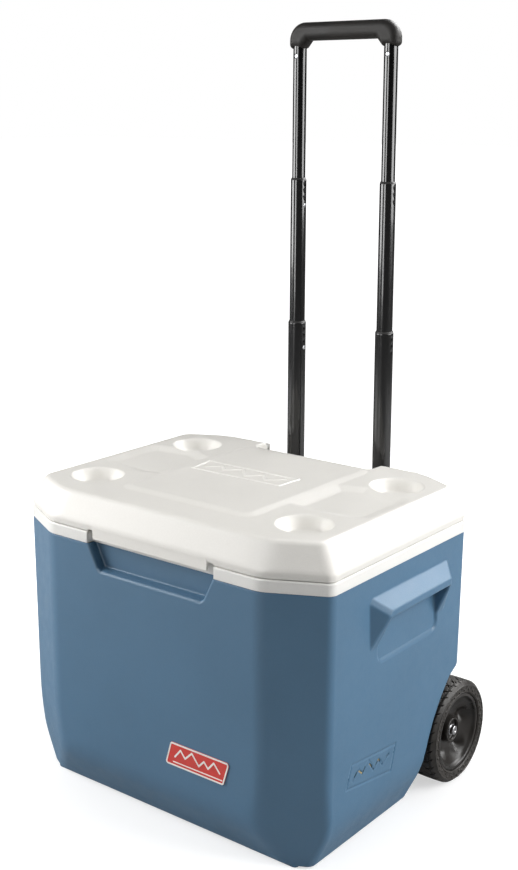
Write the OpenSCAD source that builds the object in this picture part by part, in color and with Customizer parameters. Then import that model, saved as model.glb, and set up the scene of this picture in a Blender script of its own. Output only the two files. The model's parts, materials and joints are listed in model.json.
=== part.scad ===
// Wheeled ice box with a three-stage telescoping tow handle.
// X runs along the long side, -Y is the front with the finger recess,
// +Y is the back with the handle, +Z is up. Z = 0 is the ground.

/* [Body] */
// Half of the body length at the top edge, without the side handles
body_hx = 270; // [266:0.5:272]
// Half of the body width at the top edge
body_hy = 209.4; // [208:0.2:210]
// Corner cut measured along the length
corner_x = 83.7; // [70:0.1:90]
// Corner cut measured along the width
corner_y = 43; // [36:0.5:48]
// Height of the blue wall's top edge
wall_top = 385; // [384:0.5:386]
// Height of the white rim's top face
rim_top = 401.9; // [401.5:0.1:402]
// Plastic wall thickness of shells
wall = 2.5; // [2.2:0.1:3.2]
// How far the walls lean in from the top edge to the kick
draft = 4; // [3:0.5:5]
// Height at which the walls kick in towards the base
kick_z = 70; // [60:1:80]

/* [Side handles] */
// How far the moulded grip hood reaches from the middle of the body
hood_x = 290; // [286:0.5:292]
// Back of the hand pocket from the middle of the body
pocket_x = 261; // [258:0.5:262]

/* [Lid] */
// Highest point of the lid, on its raised panel
lid_top_z = 452; // [451:0.5:452.5]
// Diameter of a cup recess at the lid surface
cup_d = 78.5; // [70:0.5:80]
// Depth of a cup recess
cup_depth = 16; // [10:1:20]
// Cup recess position along the length
cup_x = 186.5; // [180:0.5:188]
// Cup recess position along the width
cup_y = 112; // [108:0.5:114]
// Half width of the notch behind the lid that clears the tow grip
notch_hx = 108; // [100:1:110]
// Lid hinge axis, behind the body centre
hinge_y = 204.5; // [204:0.1:205]
// Lid hinge axis height
hinge_z = 438.5; // [438:0.1:439]
// Hinge pin diameter
hinge_pin_d = 5; // [4:0.5:5]

/* [Wheels] */
// Wheel diameter over the tread
wheel_d = 152.4; // [150:0.2:153]
// Tyre width
tyre_w = 48; // [40:1:48]
// Outer face of the tyre from the middle of the body
wheel_x = 273; // [272:0.5:276]
// Axle position behind the body centre
axle_y = 166.5; // [166:0.5:168]
// Axle diameter
axle_d = 10; // [8:0.5:10]

/* [Tow handle] */
// Tube position either side of the middle
tube_x = 81.7; // [78:0.1:84]
// Tube position behind the body centre
tube_y = 235.7; // [235:0.1:236]
// Outer radius of the lower tube
tube1_r = 14; // [13.8:0.1:14]
// Outer radius of the middle tube
tube2_r = 12.2; // [12:0.1:12.2]
// Outer radius of the upper tube
tube3_r = 10.3; // [10:0.1:10.3]
// Height of the lower tube's top when pulled out
tube1_top = 642.7; // [630:0.1:650]
// Height of the middle tube's top when pulled out
tube2_top = 867.1; // [860:0.1:868]
// Height of the underside of the grip's ends when pulled out
grip_z = 1064.3; // [1060:0.1:1066]
// Height of the grip over its ends
grip_h = 40; // [36:0.5:42]

/* [Hidden] */

yo = -22;                 // the body centre sits this far in front of the origin
wall_base = 2;            // underside of the body between its feet
base_hx = 238.9;
base_hy = 175;
wheel_r = wheel_d / 2;
well_x = wheel_x - tyre_w - 6;     // inner wall of the wheel wells
arc_r = 233.3;            // the wells' front edge is a wide arc
arc_y = 301.7;
arc_z = 4;
liner_hx = 217;           // liner outside, half length at the top
liner_front = -172;
liner_back = 172;
liner_floor = 42;
tube_wall = 1.2;
slide_gap = 0.08;         // running clearance of bushes and collars
sleeve_ro = 15.8;
sleeve_ri = 14.6;
sleeve_top = 385;
sleeve_bot = 40;
tube1_len = 335;
tube2_len = 300;
tube3_len = 262;
lid_edge = rim_top + 0.9; // underside of the lid
lid_wide_z = 412.7;
lid_face_z = lid_top_z - 2.5;
cup_list = [[-1, -1], [1, -1], [-1, 1], [1, 1]];
drain_y = -60;
drain_z = 62;

blue = [0.30, 0.43, 0.55];
cream = [0.93, 0.92, 0.89];
blackp = [0.10, 0.10, 0.10];
tubec = [0.05, 0.05, 0.06];
steel = [0.75, 0.76, 0.78];
tyrec = [0.15, 0.145, 0.14];
foamc = [0.93, 0.86, 0.62];

module place() translate([0, yo, 0]) children();

module side(s) { if (s > 0) children(); else mirror([1, 0, 0]) children(); }
module xcyl(r, x0, x1, fn = 64) translate([x0, 0, 0]) rotate([0, 90, 0]) cylinder(r = r, h = x1 - x0, $fn = fn);
module ycyl(r, y0, y1, fn = 48) translate([0, y0, 0]) rotate([-90, 0, 0]) cylinder(r = r, h = y1 - y0, $fn = fn);
module box(x0, x1, y0, y1, z0, z1) translate([x0, y0, z0]) cube([x1 - x0, y1 - y0, z1 - z0]);

// Octagonal outline with unequal corner cuts
function oct(hx, hy, cx, cy) = [
  [-hx + cx, -hy], [hx - cx, -hy], [hx, -hy + cy], [hx, hy - cy],
  [hx - cx, hy], [-hx + cx, hy], [-hx, hy - cy], [-hx, -hy + cy]];
module slab(pts, z, r = 8) translate([0, 0, z]) linear_extrude(0.02)
  offset(r = r, $fn = 24) offset(delta = -r) polygon(pts);
module loft(p0, z0, p1, z1, r = 8) hull() { slab(p0, z0, r); slab(p1, z1 - 0.02, r); }

// ---------------------------------------------------------------- body
// Outside form of the tub, or the same form moved inwards by t
module tub(t) {
  k = oct(body_hx - draft - t, body_hy - draft - t, corner_x, corner_y);
  loft(k, kick_z, oct(body_hx - t, body_hy - t, corner_x, corner_y), wall_top + (t > 0 ? 30 : 0));
  loft(oct(base_hx - t, base_hy - t, 27.4, 14.6), wall_base + t, k, kick_z + 0.01);
}
// Wheel well outline seen along the axle, grown by t
module well_outline(t) {
  polygon(concat([[400, -20], [arc_y - arc_r - t, -20]],
    [for (a = [0:5.75:46]) [arc_y - (arc_r + t) * cos(a), arc_z + (arc_r + t) * sin(a)]],
    [[166, 186 + t], [400, 210 + t]]));
}
module wells(t) for (s = [-1, 1]) side(s) translate([well_x - t, 0, 0])
  rotate([90, 0, 90]) linear_extrude(120) well_outline(t);
// Hand pocket section in X and Z, grown by t
module pocket(t) for (s = [-1, 1]) side(s) translate([0, 94 + t, 0]) rotate([90, 0, 0])
  linear_extrude(151 + 2 * t) polygon([[330, 329 - t], [283, 329 - t], [pocket_x + 9, 343 + t],
    [pocket_x - t, 343 + t], [pocket_x - t, 263], [pocket_x + 1 - t, 256 - t], [330, 256 - t]]);
// Hood that carries the lip of each side handle
module hood() hull() {
  box(260, 267, -83, 120, 352, 359);
  box(260, 266.3, -78, 114, 273, 275);
  box(hood_x - 1, hood_x, -61, 96, 331, 339);
}
// Finger recess under the front edge of the lid, grown by t
module finger_recess(t) translate([0, -body_hy + 15 + t, 0]) rotate([90, 0, 0]) linear_extrude(40)
  offset(r = 6, $fn = 24) offset(delta = -6)
  polygon([[-113 - t, 400], [-112.8 - t, 384.4], [-90.8 - t, 351.6 - t], [90.8 + t, 351.6 - t], [112.8 + t, 384.4], [113 + t, 400]]);
// Flat seat for the badge
module badge_seat(g, y0, y1) translate([0, y1, 0]) rotate([90, 0, 0]) linear_extrude(y1 - y0)
  offset(r = 3 + g, $fn = 24) offset(delta = -3) polygon([[26.4, 102], [128.3, 102], [138.5, 136], [36.2, 136]]);

module outer_shell() color(blue) place() difference() {
  union() {
    difference() {
      union() {
        tub(0);
        side(1) hood();
        side(-1) hood();
      }
      difference() {
        tub(wall);
        wells(wall);
        pocket(wall);
        finger_recess(wall);
        // boss behind the drain
        translate([0, drain_y, drain_z]) xcyl(22, -300, -240);
      }
      wells(0);
      pocket(0);
    }
    // two feet under the front edge
    for (s = [-1, 1]) side(s) box(131, 222, -172, -132, 0, wall_base + 1);
  }
  finger_recess(0);
  badge_seat(0.15, -240, -204.9);
  // axle passage
  translate([0, axle_y, wheel_r]) xcyl(8.05, -230, 230);
  // drain passage and its flat face
  translate([0, drain_y, drain_z]) { xcyl(10.05, -300, -230); xcyl(20.2, -300, -262.5); }
  // screw holes for the hinges and the handle brackets
  screw_spots_hinge() ycyl(2, 195, 230);
  screw_spots_bracket() ycyl(2, 180, 230);
}

// Liner outside form, or the same form moved inwards by t
module liner_form(t) {
  a = [[-liner_hx + t, liner_front + t], [liner_hx - t, liner_front + t], [liner_hx - t, liner_back - t], [-liner_hx + t, liner_back - t]];
  b = [[-206 + t, -160 + t], [206 - t, -160 + t], [206 - t, 148 - t], [-206 + t, 148 - t]];
  loft(b, liner_floor + t, a, rim_top + (t > 0 ? 1 : 0), 22);
}
module inner_liner() color(cream) place() difference() {
  union() {
    liner_form(0);
    translate([0, 0, wall_top + 0.02]) linear_extrude(rim_top - wall_top - 0.02)
      offset(r = 8, $fn = 24) offset(delta = -8) polygon(oct(body_hx, body_hy, corner_x, corner_y));
  }
  liner_form(2.6);
  // hollow underside of the rim
  difference() {
    translate([0, 0, wall_top - 5]) linear_extrude(rim_top - 3 - wall_top + 5)
      offset(r = 6, $fn = 24) offset(delta = -6) polygon(oct(body_hx - 3, body_hy - 3, corner_x, corner_y));
    liner_form(0);
    box(-120, 120, -230, -195, 370, 420);
  }
  // the finger recess carries on up through the rim, behind the tongue of the lid
  box(-113, 113, -230, -198, 380, 420);
  // mouth of the drain
  translate([0, drain_y, drain_z]) xcyl(10.05, -230, -180);
}
module body_foam() color(foamc) place() difference() {
  intersection() {
    tub(wall + 0.05);
    box(-400, 400, -400, 400, 0, wall_top - 0.05);
  }
  liner_form(-0.05);
  wells(wall + 0.05);
  pocket(wall + 0.05);
  finger_recess(wall + 0.05);
  translate([0, axle_y, wheel_r]) xcyl(8.05, -230, 230);
  translate([0, drain_y, drain_z]) xcyl(22.1, -300, -190);
  screw_spots_hinge() ycyl(2.1, 190, 230);
  screw_spots_bracket() ycyl(2.1, 175, 230);
}
module front_badge() color([0.80, 0.22, 0.17]) place() badge_seat(0, -207.6, -204.95);

// ---------------------------------------------------------------- drain
module drain_spout() color(cream) place() translate([0, drain_y, drain_z]) difference() {
  union() { xcyl(10, -268, -196); xcyl(17, -265, -262.5 - 1.5); }
  xcyl(7, -270, -190);
}
module drain_gasket() color(blackp) place() translate([0, drain_y, drain_z]) difference() {
  xcyl(16, -264, -262.5); xcyl(10.05, -270, -190);
}
module drain_nut() color(cream) place() translate([0, drain_y, drain_z]) difference() {
  translate([-203.3, 0, 0]) rotate([0, 90, 0]) cylinder(r = 16, h = 5.5, $fn = 6);
  xcyl(10.05, -270, -190);
}
module drain_cap() color(cream) place() translate([0, drain_y, drain_z]) {
  difference() {
    union() {
      xcyl(15, -276, -265.3);
      for (a = [0:30:150]) rotate([a, 0, 0]) box(-276, -267, -15.8, 15.8, -1, 1);
    }
    xcyl(12, -272.5, -260);
  }
  xcyl(6.93, -273, -258);
}

// ---------------------------------------------------------------- wheels
module axle_pos() translate([0, yo + axle_y, wheel_r]) children();
module axle() color(steel) axle_pos() xcyl(axle_d / 2, -263, 263);
module axle_sleeve() color(blackp) axle_pos() difference() {
  xcyl(8, -well_x, well_x); xcyl(axle_d / 2 + 0.05, -300, 300);
}
module axle_washers() color(steel) axle_pos() for (s = [-1, 1]) side(s) {
  difference() { xcyl(9, well_x + 0.3, well_x + 2.3); xcyl(axle_d / 2 + 0.05, 200, 300); }
  difference() { xcyl(9, 253.6, 255.2); xcyl(axle_d / 2 + 0.05, 200, 300); }
}
module axle_caps() color(steel) axle_pos() for (s = [-1, 1]) side(s)
  difference() {
    rotate([0, 90, 0]) rotate_extrude($fn = 48) polygon([[0, 255.4], [9.5, 255.4], [9.5, 258], [8, 262], [5, 265], [0, 266]]);
    xcyl(axle_d / 2 + 0.05, 200, 263.05);
  }
// Section of the rim: radius from the axle, position along it
module rim_one() axle_pos() difference() {
  rotate([0, 90, 0]) rotate_extrude($fn = 96) polygon([
    [8, 222.4], [20, 222.4], [20, 232], [50, 232], [50, 228], [57.5, 228], [57.5, 270], [52, 270],
    [46, 246], [20, 240], [20, 253], [8, 253]]);
  for (a = [0:60:300]) rotate([a, 0, 0]) translate([0, 34, 0]) xcyl(8.5, 200, 300, 40);
}
module wheel_rim_right() color(tyrec) rim_one();
module wheel_rim_left() color(tyrec) mirror([1, 0, 0]) rim_one();
module tyre_one() axle_pos() difference() {
  rotate([0, 90, 0]) rotate_extrude($fn = 120) polygon([
    [57.6, wheel_x - tyre_w + 2], [70, wheel_x - tyre_w], [73.4, wheel_x - tyre_w + 2], [wheel_r, wheel_x - tyre_w + 8],
    [wheel_r, wheel_x - 8], [73.4, wheel_x - 2], [70, wheel_x], [57.6, wheel_x - 2]]);
  for (a = [0:15:345]) rotate([a, 0, 0]) {
    translate([wheel_x - 9, 0, wheel_r]) rotate([0, 0, 24]) cube([22, 5, 7], center = true);
    translate([wheel_x - tyre_w + 9, 0, wheel_r]) rotate([0, 0, -24]) cube([22, 5, 7], center = true);
  }
}
module tyre_right() color(tyrec) tyre_one();
module tyre_left() color(tyrec) mirror([1, 0, 0]) tyre_one();
module bush_one() axle_pos() difference() { xcyl(7.95, 222, 253.3); xcyl(axle_d / 2 + slide_gap, 200, 300); }
module wheel_bush_right() color(blackp) bush_one();
module wheel_bush_left() color(blackp) mirror([1, 0, 0]) bush_one();

// ---------------------------------------------------------------- lid
module lid_outside(t) {
  w = oct(body_hx + 1 - t, body_hy + 0.9 - t, corner_x, corner_y);
  loft(oct(body_hx - 2.5 - t, body_hy - 2.5 - t, corner_x, corner_y), lid_edge - (t > 0 ? 1 : 0), w, lid_wide_z);
  loft(w, lid_wide_z - 0.02, oct(body_hx - 21 - t, body_hy - 17.4 - t, corner_x - 6, corner_y - 4), lid_face_z - t);
}
// Notch at the back that gives the tow grip room, grown by t
module lid_notch(t) rotate([90, 0, 90]) translate([0, 0, -notch_hx - t]) linear_extrude(2 * notch_hx + 2 * t)
  polygon([[260, 395], [189 - t, 395], [188 - t, 413], [162 - t, 450], [162 - t, 470], [260, 470]]);
module cup_form(t) rotate_extrude($fn = 72) polygon([
  [0, -cup_depth - t], [cup_d / 2 - 9 + t, -cup_depth - t], [cup_d / 2 - 4 + t, -cup_depth + 5], [cup_d / 2 + t, 0], [cup_d / 2 + t, 8], [0, 8]]);
module cups(t) for (c = cup_list) translate([c[0] * cup_x, c[1] * cup_y, lid_face_z]) cup_form(t);
module panel_outline() offset(r = 14, $fn = 32) offset(delta = -14) polygon([[-112, -134], [112, -134], [112, 150], [-112, 150]]);
// Shallow finger dish between the cup recesses
module dishes(t) for (s = [-1, 1]) side(s) translate([0, 0, lid_face_z - 5 - t]) linear_extrude(20)
  offset(r = 10 + t, $fn = 24) offset(delta = -10) polygon([[118, -50], [150, -62], [228, -40], [234, -20], [234, 52], [226, 66], [118, 60]]);
module lid_top() color(cream) place() difference() {
  union() {
    lid_outside(0);
    translate([0, 0, lid_face_z - 3]) linear_extrude(lid_top_z - lid_face_z + 3) panel_outline();
    // tongue that hangs over the front of the rim
    box(-102, 102, -208.6, -200, 394, 408);
  }
  difference() {
    lid_outside(wall);
    lid_notch(wall);
    cups(wall);
    dishes(wall);
    box(-104, 104, -215, -200, 380, 407);
    for (s = [-1, 1]) side(s) box(124, 156, 185, 220, 420, 460);
  }
  lid_notch(0);
  cups(0);
  dishes(0);
  screw_spots_leaf(1.9);
}
module lid_foam() color(foamc) place() difference() {
  intersection() {
    lid_outside(wall + 0.1);
    box(-400, 400, -400, 400, lid_edge + 2.6, 500);
  }
  lid_notch(wall + 0.1);
  cups(wall + 0.1);
  dishes(wall + 0.1);
  box(-105, 105, -220, -199.5, 380, 407.1);
  for (s = [-1, 1]) side(s) box(123.5, 156.5, 184.5, 220, 400, 460);
}
module lid_underpan() color(cream) place() {
  difference() {
    translate([0, 0, lid_edge]) linear_extrude(2.5)
      offset(r = 6, $fn = 24) offset(delta = -6) polygon(oct(body_hx - 6.5, body_hy - 6.5, corner_x, corner_y));
    box(-notch_hx - 4, notch_hx + 4, 184.8, 260, 390, 420);
    box(-116, 116, -260, -199.5, 390, 420);
  }
  // plug that sits in the mouth of the liner
  difference() {
    loft([[-203, -156], [203, -156], [203, 158], [-203, 158]], 388, [[-206, -160], [206, -160], [206, 162], [-206, 162]], lid_edge + 0.1, 18);
    loft([[-200.5, -153.5], [200.5, -153.5], [200.5, 155.5], [-200.5, 155.5]], 390.5, [[-203.5, -157.5], [203.5, -157.5], [203.5, 159.5], [-203.5, 159.5]], lid_edge + 2, 16);
  }
}

// ---------------------------------------------------------------- hinges
module screw_spots_hinge() for (s = [-1, 1], x = [126, 154], z = [350, 370]) translate([s * x, 0, z]) children();
module hinge_brackets() color(cream) place() for (s = [-1, 1]) side(s) difference() {
  union() {
    box(118, 162, 211.4, 214.8, 340, 421);
    box(118, 162, body_hy + 0.05, 211.5, 340, 384);
    for (x = [118, 153]) {
      box(x, x + 9, 211.4, 214.8, 420, hinge_z + 3);
      box(x, x + 9, hinge_y, 212, hinge_z - 4, hinge_z + 3);
      translate([0, hinge_y, hinge_z]) xcyl(5.4, x, x + 9);
    }
  }
  translate([0, hinge_y, hinge_z]) xcyl(hinge_pin_d / 2 + 0.02, 100, 180);
  for (x = [126, 154], z = [350, 370]) translate([x, 0, z]) ycyl(2.2, 200, 230);
}
module hinge_pins() color(steel) place() for (s = [-1, 1]) side(s) translate([0, hinge_y, hinge_z]) {
  xcyl(hinge_pin_d / 2, 116.5, 163.5);
  xcyl(4, 115, 117.4);
}
module hinge_bracket_screws() color(steel) place() screw_spots_hinge() { ycyl(3.6, 214.9, 217); ycyl(1.9, 197, 215); }
// Direction square to the back slope of the lid
lean = atan2(17.4 + 0.9, lid_face_z - lid_wide_z);
module leaf_frame() translate([0, hinge_y, hinge_z]) rotate([lean, 0, 0]) children();
module screw_spots_leaf(r) for (s = [-1, 1], x = [132, 148]) side(s) translate([x, 0, 0]) leaf_frame() translate([0, 0, -8]) ycyl(r, -22, 0);
module hinge_leaves() color(cream) place() for (s = [-1, 1]) side(s) difference() {
  union() {
    translate([0, hinge_y, hinge_z]) xcyl(5.4, 127.4, 152.6);
    leaf_frame() { box(127.8, 152.2, -6.25, -3, -12, 10); box(128.2, 151.8, -4, 0, -3.2, 3.2); }
  }
  translate([0, hinge_y, hinge_z]) xcyl(hinge_pin_d / 2 + 0.06, 100, 180);
  for (x = [132, 148]) translate([x, 0, 0]) leaf_frame() translate([0, 0, -8]) ycyl(1.95, -22, 0);
}
module hinge_leaf_screws() color(steel) place() for (s = [-1, 1], x = [132, 148]) side(s)
  translate([x, 0, 0]) leaf_frame() translate([0, 0, -8]) { ycyl(1.85, -16, -3); ycyl(3.2, -3, -1.8); }

// ---------------------------------------------------------------- tow handle
module tube_pair() for (s = [-1, 1]) side(s) translate([tube_x, yo + tube_y, 0]) children();
module tube_at(s) side(s) translate([tube_x, yo + tube_y, 0]) children();
module ring(ro, ri, z0, z1) difference() {
  translate([0, 0, z0]) cylinder(r = ro, h = z1 - z0, $fn = 72);
  translate([0, 0, z0 - 1]) cylinder(r = ri, h = z1 - z0 + 2, $fn = 72);
}
module screw_spots_bracket() for (s = [-1, 1], x = [30, 58], z = [364, 62]) translate([s * x, 0, z]) children();
module bracket(z0, z1, y0) difference() {
  union() {
    box(-106, 106, y0, 217, z0, z1);
    for (s = [-1, 1]) side(s) {
      translate([tube_x, tube_y, z0]) cylinder(r = 18.3, h = z1 - z0, $fn = 72);
      box(tube_x - 18.3, tube_x + 18.3, y0, tube_y, z0, z1);
    }
    for (z = [z0, z1 - 4]) box(-tube_x, tube_x, y0, 232, z, z + 4);
  }
  for (s = [-1, 1]) side(s) translate([tube_x, tube_y, z0 - 1]) cylinder(r = sleeve_ro + 0.03, h = z1 - z0 + 2, $fn = 72);
}
module handle_upper_bracket() color(blackp) place() difference() {
  bracket(345, 383, body_hy + 0.05);
  screw_spots_bracket() ycyl(2.2, 190, 240);
}
module handle_lower_bracket() color(blackp) place() difference() {
  // reaches down to the wall where it leans in, so it has a deeper back
  union() { bracket(44, 80, 207); }
  screw_spots_bracket() ycyl(2.2, 190, 240);
}
module handle_bracket_screws() color(steel) place() screw_spots_bracket() { ycyl(4, 217.05, 219.5); ycyl(1.9, 197, 217.1); }
module sleeve() difference() {
  ring(sleeve_ro, sleeve_ri, sleeve_bot, sleeve_top);
}
module guide_sleeve_left() color(tubec) tube_at(-1) sleeve();
module guide_sleeve_right() color(tubec) tube_at(1) sleeve();
// Keyway that lets a snap button pass a bush
module keyway(r, z0, z1) box(-r - 0.7, 0, -3.6, 3.6, z0, z1);
module sleeve_top_bushes() color(blackp) tube_pair() difference() {
  union() {
    ring(sleeve_ro + 0.8, tube1_r + slide_gap, sleeve_top + 0.02, sleeve_top + 4);
    ring(sleeve_ri - 0.02, tube1_r + slide_gap, sleeve_top - 14, sleeve_top + 0.1);
  }
  keyway(tube1_r, sleeve_top - 20, sleeve_top + 10);
}
module sleeve_end_plugs() color(blackp) tube_pair() {
  translate([0, 0, sleeve_bot - 4]) cylinder(r = sleeve_ro, h = 3.98, $fn = 72);
  translate([0, 0, sleeve_bot - 0.1]) cylinder(r = sleeve_ri - 0.02, h = 6, $fn = 72);
}
// One telescoping tube with a hole for its lock button on the inner side
module stage(r, z0, z1, hole_z) difference() {
  ring(r, r - tube_wall, z0, z1);
  if (hole_z > 0) translate([-r - 5, 0, hole_z]) rotate([0, 90, 0]) cylinder(r = 3.1, h = 10, $fn = 32);
}
button1_z = tube1_top - 40;
button2_z = tube2_top - 40;
rivet_z = grip_z - 10.6;
module lower_tube_left() color(tubec) tube_at(-1) stage(tube1_r, tube1_top - tube1_len, tube1_top, button1_z);
module lower_tube_right() color(tubec) tube_at(1) stage(tube1_r, tube1_top - tube1_len, tube1_top, button1_z);
module middle_tube_left() color(tubec) tube_at(-1) stage(tube2_r, tube2_top - tube2_len, tube2_top, button2_z);
module middle_tube_right() color(tubec) tube_at(1) stage(tube2_r, tube2_top - tube2_len, tube2_top, button2_z);
module upper_stage() difference() {
  stage(tube3_r, grip_z - tube3_len, grip_z + 18, 0);
  translate([0, 0, rivet_z]) ycyl(3.65, -20, -2, 32);
}
module upper_tube_left() color(tubec) tube_at(-1) upper_stage();
module upper_tube_right() color(tubec) tube_at(1) upper_stage();
// Collar: a tapered cap on the tube's mouth and a guide ring inside it
module collar(r, rin, top) difference() {
  union() {
    difference() {
      translate([0, 0, top + 0.02]) cylinder(r1 = r, r2 = rin + 0.5, h = 2.98, $fn = 72);
      translate([0, 0, top - 1]) cylinder(r = rin + slide_gap, h = 6, $fn = 72);
    }
    ring(r - tube_wall - 0.02, rin + slide_gap, top - 12, top + 0.1);
  }
  keyway(rin, top - 20, top + 10);
}
module lower_tube_collars() color(blackp) tube_pair() collar(tube1_r, tube2_r, tube1_top);
module middle_tube_collars() color(blackp) tube_pair() collar(tube2_r, tube3_r, tube2_top);
// Foot: a plug in the tube's lower end that runs in the tube around it
module foot(r, rout, bot) {
  translate([0, 0, bot - 10]) cylinder(r = rout - slide_gap, h = 9.98, $fn = 72);
  translate([0, 0, bot - 0.1]) cylinder(r = r - tube_wall - 0.02, h = 12, $fn = 72);
}
module lower_tube_feet() color(blackp) tube_pair() foot(tube1_r, sleeve_ri, tube1_top - tube1_len);
module middle_tube_feet() color(blackp) tube_pair() foot(tube2_r, tube1_r - tube_wall, tube2_top - tube2_len);
module upper_tube_feet() color(blackp) tube_pair() foot(tube3_r, tube2_r - tube_wall, grip_z - tube3_len);

module tow_grip() color(blackp) place() difference() {
  union() {
    // crossbar and legs of the grip, with a gusset in each inner corner
    translate([0, tube_y + 13, 0]) rotate([90, 0, 0]) linear_extrude(26) union() {
      difference() {
        offset(r = 26, $fn = 48) offset(delta = -26) polygon([[-97, grip_z - 40], [97, grip_z - 40], [97, grip_z + grip_h], [-97, grip_z + grip_h]]);
        translate([-300, grip_z - 100]) square([600, 100]);
        offset(r = 6, $fn = 32) offset(delta = -6) polygon([[-67, grip_z - 60], [67, grip_z - 60], [67, grip_z + 3], [57, grip_z + grip_h - 27], [-57, grip_z + grip_h - 27], [-67, grip_z + 3]]);
      }
    }
  }
  for (s = [-1, 1]) translate([s * tube_x, tube_y, grip_z - 1]) cylinder(r = tube3_r + 0.03, h = 19.1, $fn = 72);
}
// Plugs of the grip that fill the tubes' tops and take the rivets
module grip_plugs() color(blackp) tube_pair() difference() {
  translate([0, 0, rivet_z - 12]) cylinder(r = tube3_r - tube_wall - 0.03, h = grip_z + 17.9 - rivet_z + 12, $fn = 72);
  translate([0, 0, rivet_z]) ycyl(2.05, -20, -2, 32);
}
// Rivets sunk in the front of the upper tubes, so that they pass the collars
module grip_rivets() color(steel) tube_pair() translate([0, 0, rivet_z]) {
  ycyl(3.6, -9.65, -tube3_r + tube_wall + 0.02, 32);
  ycyl(2.0, -tube3_r + tube_wall, -3, 32);
}
// Snap buttons stand in the tube's side hole and stop clear of the tube inside
module lock_button(r, z, s) side(s) translate([tube_x, yo + tube_y, z]) {
  xcyl(3.0, -r - 0.02, -r + 0.5, 32);
  translate([-r - 0.3, 0, 0]) rotate([0, 90, 0]) cylinder(r1 = 2.2, r2 = 3.0, h = 0.29, $fn = 32);
}
module lock_button_lower_left() color(steel) lock_button(tube1_r, button1_z, -1);
module lock_button_lower_right() color(steel) lock_button(tube1_r, button1_z, 1);
module lock_button_middle_left() color(steel) lock_button(tube2_r, button2_z, -1);
module lock_button_middle_right() color(steel) lock_button(tube2_r, button2_z, 1);

outer_shell();
body_foam();
inner_liner();
front_badge();
drain_spout();
drain_gasket();
drain_nut();
drain_cap();
axle();
axle_sleeve();
axle_washers();
axle_caps();
wheel_rim_left();
wheel_rim_right();
tyre_left();
tyre_right();
wheel_bush_left();
wheel_bush_right();
hinge_brackets();
hinge_pins();
hinge_bracket_screws();
lid_top();
lid_foam();
lid_underpan();
hinge_leaves();
hinge_leaf_screws();
handle_upper_bracket();
handle_lower_bracket();
handle_bracket_screws();
guide_sleeve_left();
guide_sleeve_right();
sleeve_top_bushes();
sleeve_end_plugs();
lower_tube_left();
lower_tube_right();
lower_tube_collars();
lower_tube_feet();
middle_tube_left();
middle_tube_right();
middle_tube_collars();
middle_tube_feet();
upper_tube_left();
upper_tube_right();
upper_tube_feet();
tow_grip();
grip_plugs();
grip_rivets();
lock_button_lower_left();
lock_button_lower_right();
lock_button_middle_left();
lock_button_middle_right();
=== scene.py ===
"""Looks of the wheeled ice box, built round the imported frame.

Lengths in the shape functions are millimetres measured from the middle of the
box, which sits 22 mm in front of the frame's origin. Every moulded piece is a
distance field meshed on a grid, pulled onto the exact surface and given the
field's own normals. Turned pieces are lathed profiles.
"""
import json
import math
import time

import bpy
import numpy as np
import openvdb as vdb
from mathutils import Vector, Matrix


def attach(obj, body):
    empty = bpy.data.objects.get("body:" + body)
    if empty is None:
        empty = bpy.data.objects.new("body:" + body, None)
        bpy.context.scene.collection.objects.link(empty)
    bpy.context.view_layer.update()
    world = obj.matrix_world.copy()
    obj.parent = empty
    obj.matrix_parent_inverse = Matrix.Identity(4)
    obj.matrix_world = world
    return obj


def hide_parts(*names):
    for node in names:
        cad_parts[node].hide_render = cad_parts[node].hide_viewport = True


T0 = time.perf_counter()
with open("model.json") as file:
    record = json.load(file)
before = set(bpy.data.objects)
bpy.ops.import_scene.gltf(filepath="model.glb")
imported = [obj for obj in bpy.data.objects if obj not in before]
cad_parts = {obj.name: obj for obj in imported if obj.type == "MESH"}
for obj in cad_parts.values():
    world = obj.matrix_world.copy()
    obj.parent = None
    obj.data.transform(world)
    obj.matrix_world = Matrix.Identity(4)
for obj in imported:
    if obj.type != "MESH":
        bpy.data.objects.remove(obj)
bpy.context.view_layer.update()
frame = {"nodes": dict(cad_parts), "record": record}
YO = -22.0
SC = bpy.context.scene


def log(*a):
    print("[%.1f]" % (time.perf_counter() - T0), *a)


# ------------------------------------------------------------------ camera
def make_camera():
    az, el, roll = math.radians(37.9404), math.radians(11.3282), math.radians(0.2475)
    back = Vector((math.sin(az) * math.cos(el), -math.cos(az) * math.cos(el), math.sin(el)))
    right = Vector((math.cos(az), math.sin(az), 0))
    up = back.cross(right)
    r2 = right * math.cos(roll) + up * math.sin(roll)
    u2 = -right * math.sin(roll) + up * math.cos(roll)
    cam = bpy.data.cameras.new("camera")
    ob = bpy.data.objects.new("camera", cam)
    SC.collection.objects.link(ob)
    m = Matrix((r2, u2, back)).transposed().to_4x4()
    m.translation = Vector((1.13168, -1.45872, 0.97579))
    ob.matrix_world = m
    cam.sensor_width = 36.0
    cam.lens = 1313.66 / 870.0 * 36.0
    cam.shift_x = (259.0 - 252.07) / 870.0
    cam.shift_y = -(435.0 - 371.28) / 870.0
    cam.clip_start, cam.clip_end = 0.05, 60.0
    SC.camera = ob
    return ob


make_camera()


# ------------------------------------------------------------------ fields
def rmax(a, b, r, c=0.0):
    """Meeting of two half spaces with a round of radius r, c the cosine between their outward normals."""
    s2 = 1.0 - c * c
    u, v = a + r, b + r
    q = np.sqrt(np.maximum(u * u + v * v - 2 * u * v * c, 0.0) / s2) - r
    return np.where((u - v * c > 0) & (v - u * c > 0), q, np.maximum(a, b))


def rmin(a, b, r, c=0.0):
    """Joint of two solids with a hollow fillet of radius r."""
    return -rmax(-a, -b, r, c)


def smin(a, b, k):
    h = np.maximum(k - np.abs(a - b), 0.0) / k
    return np.minimum(a, b) - h * h * (k * 0.25)


def smax(a, b, k):
    return -smin(-a, -b, k)


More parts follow.
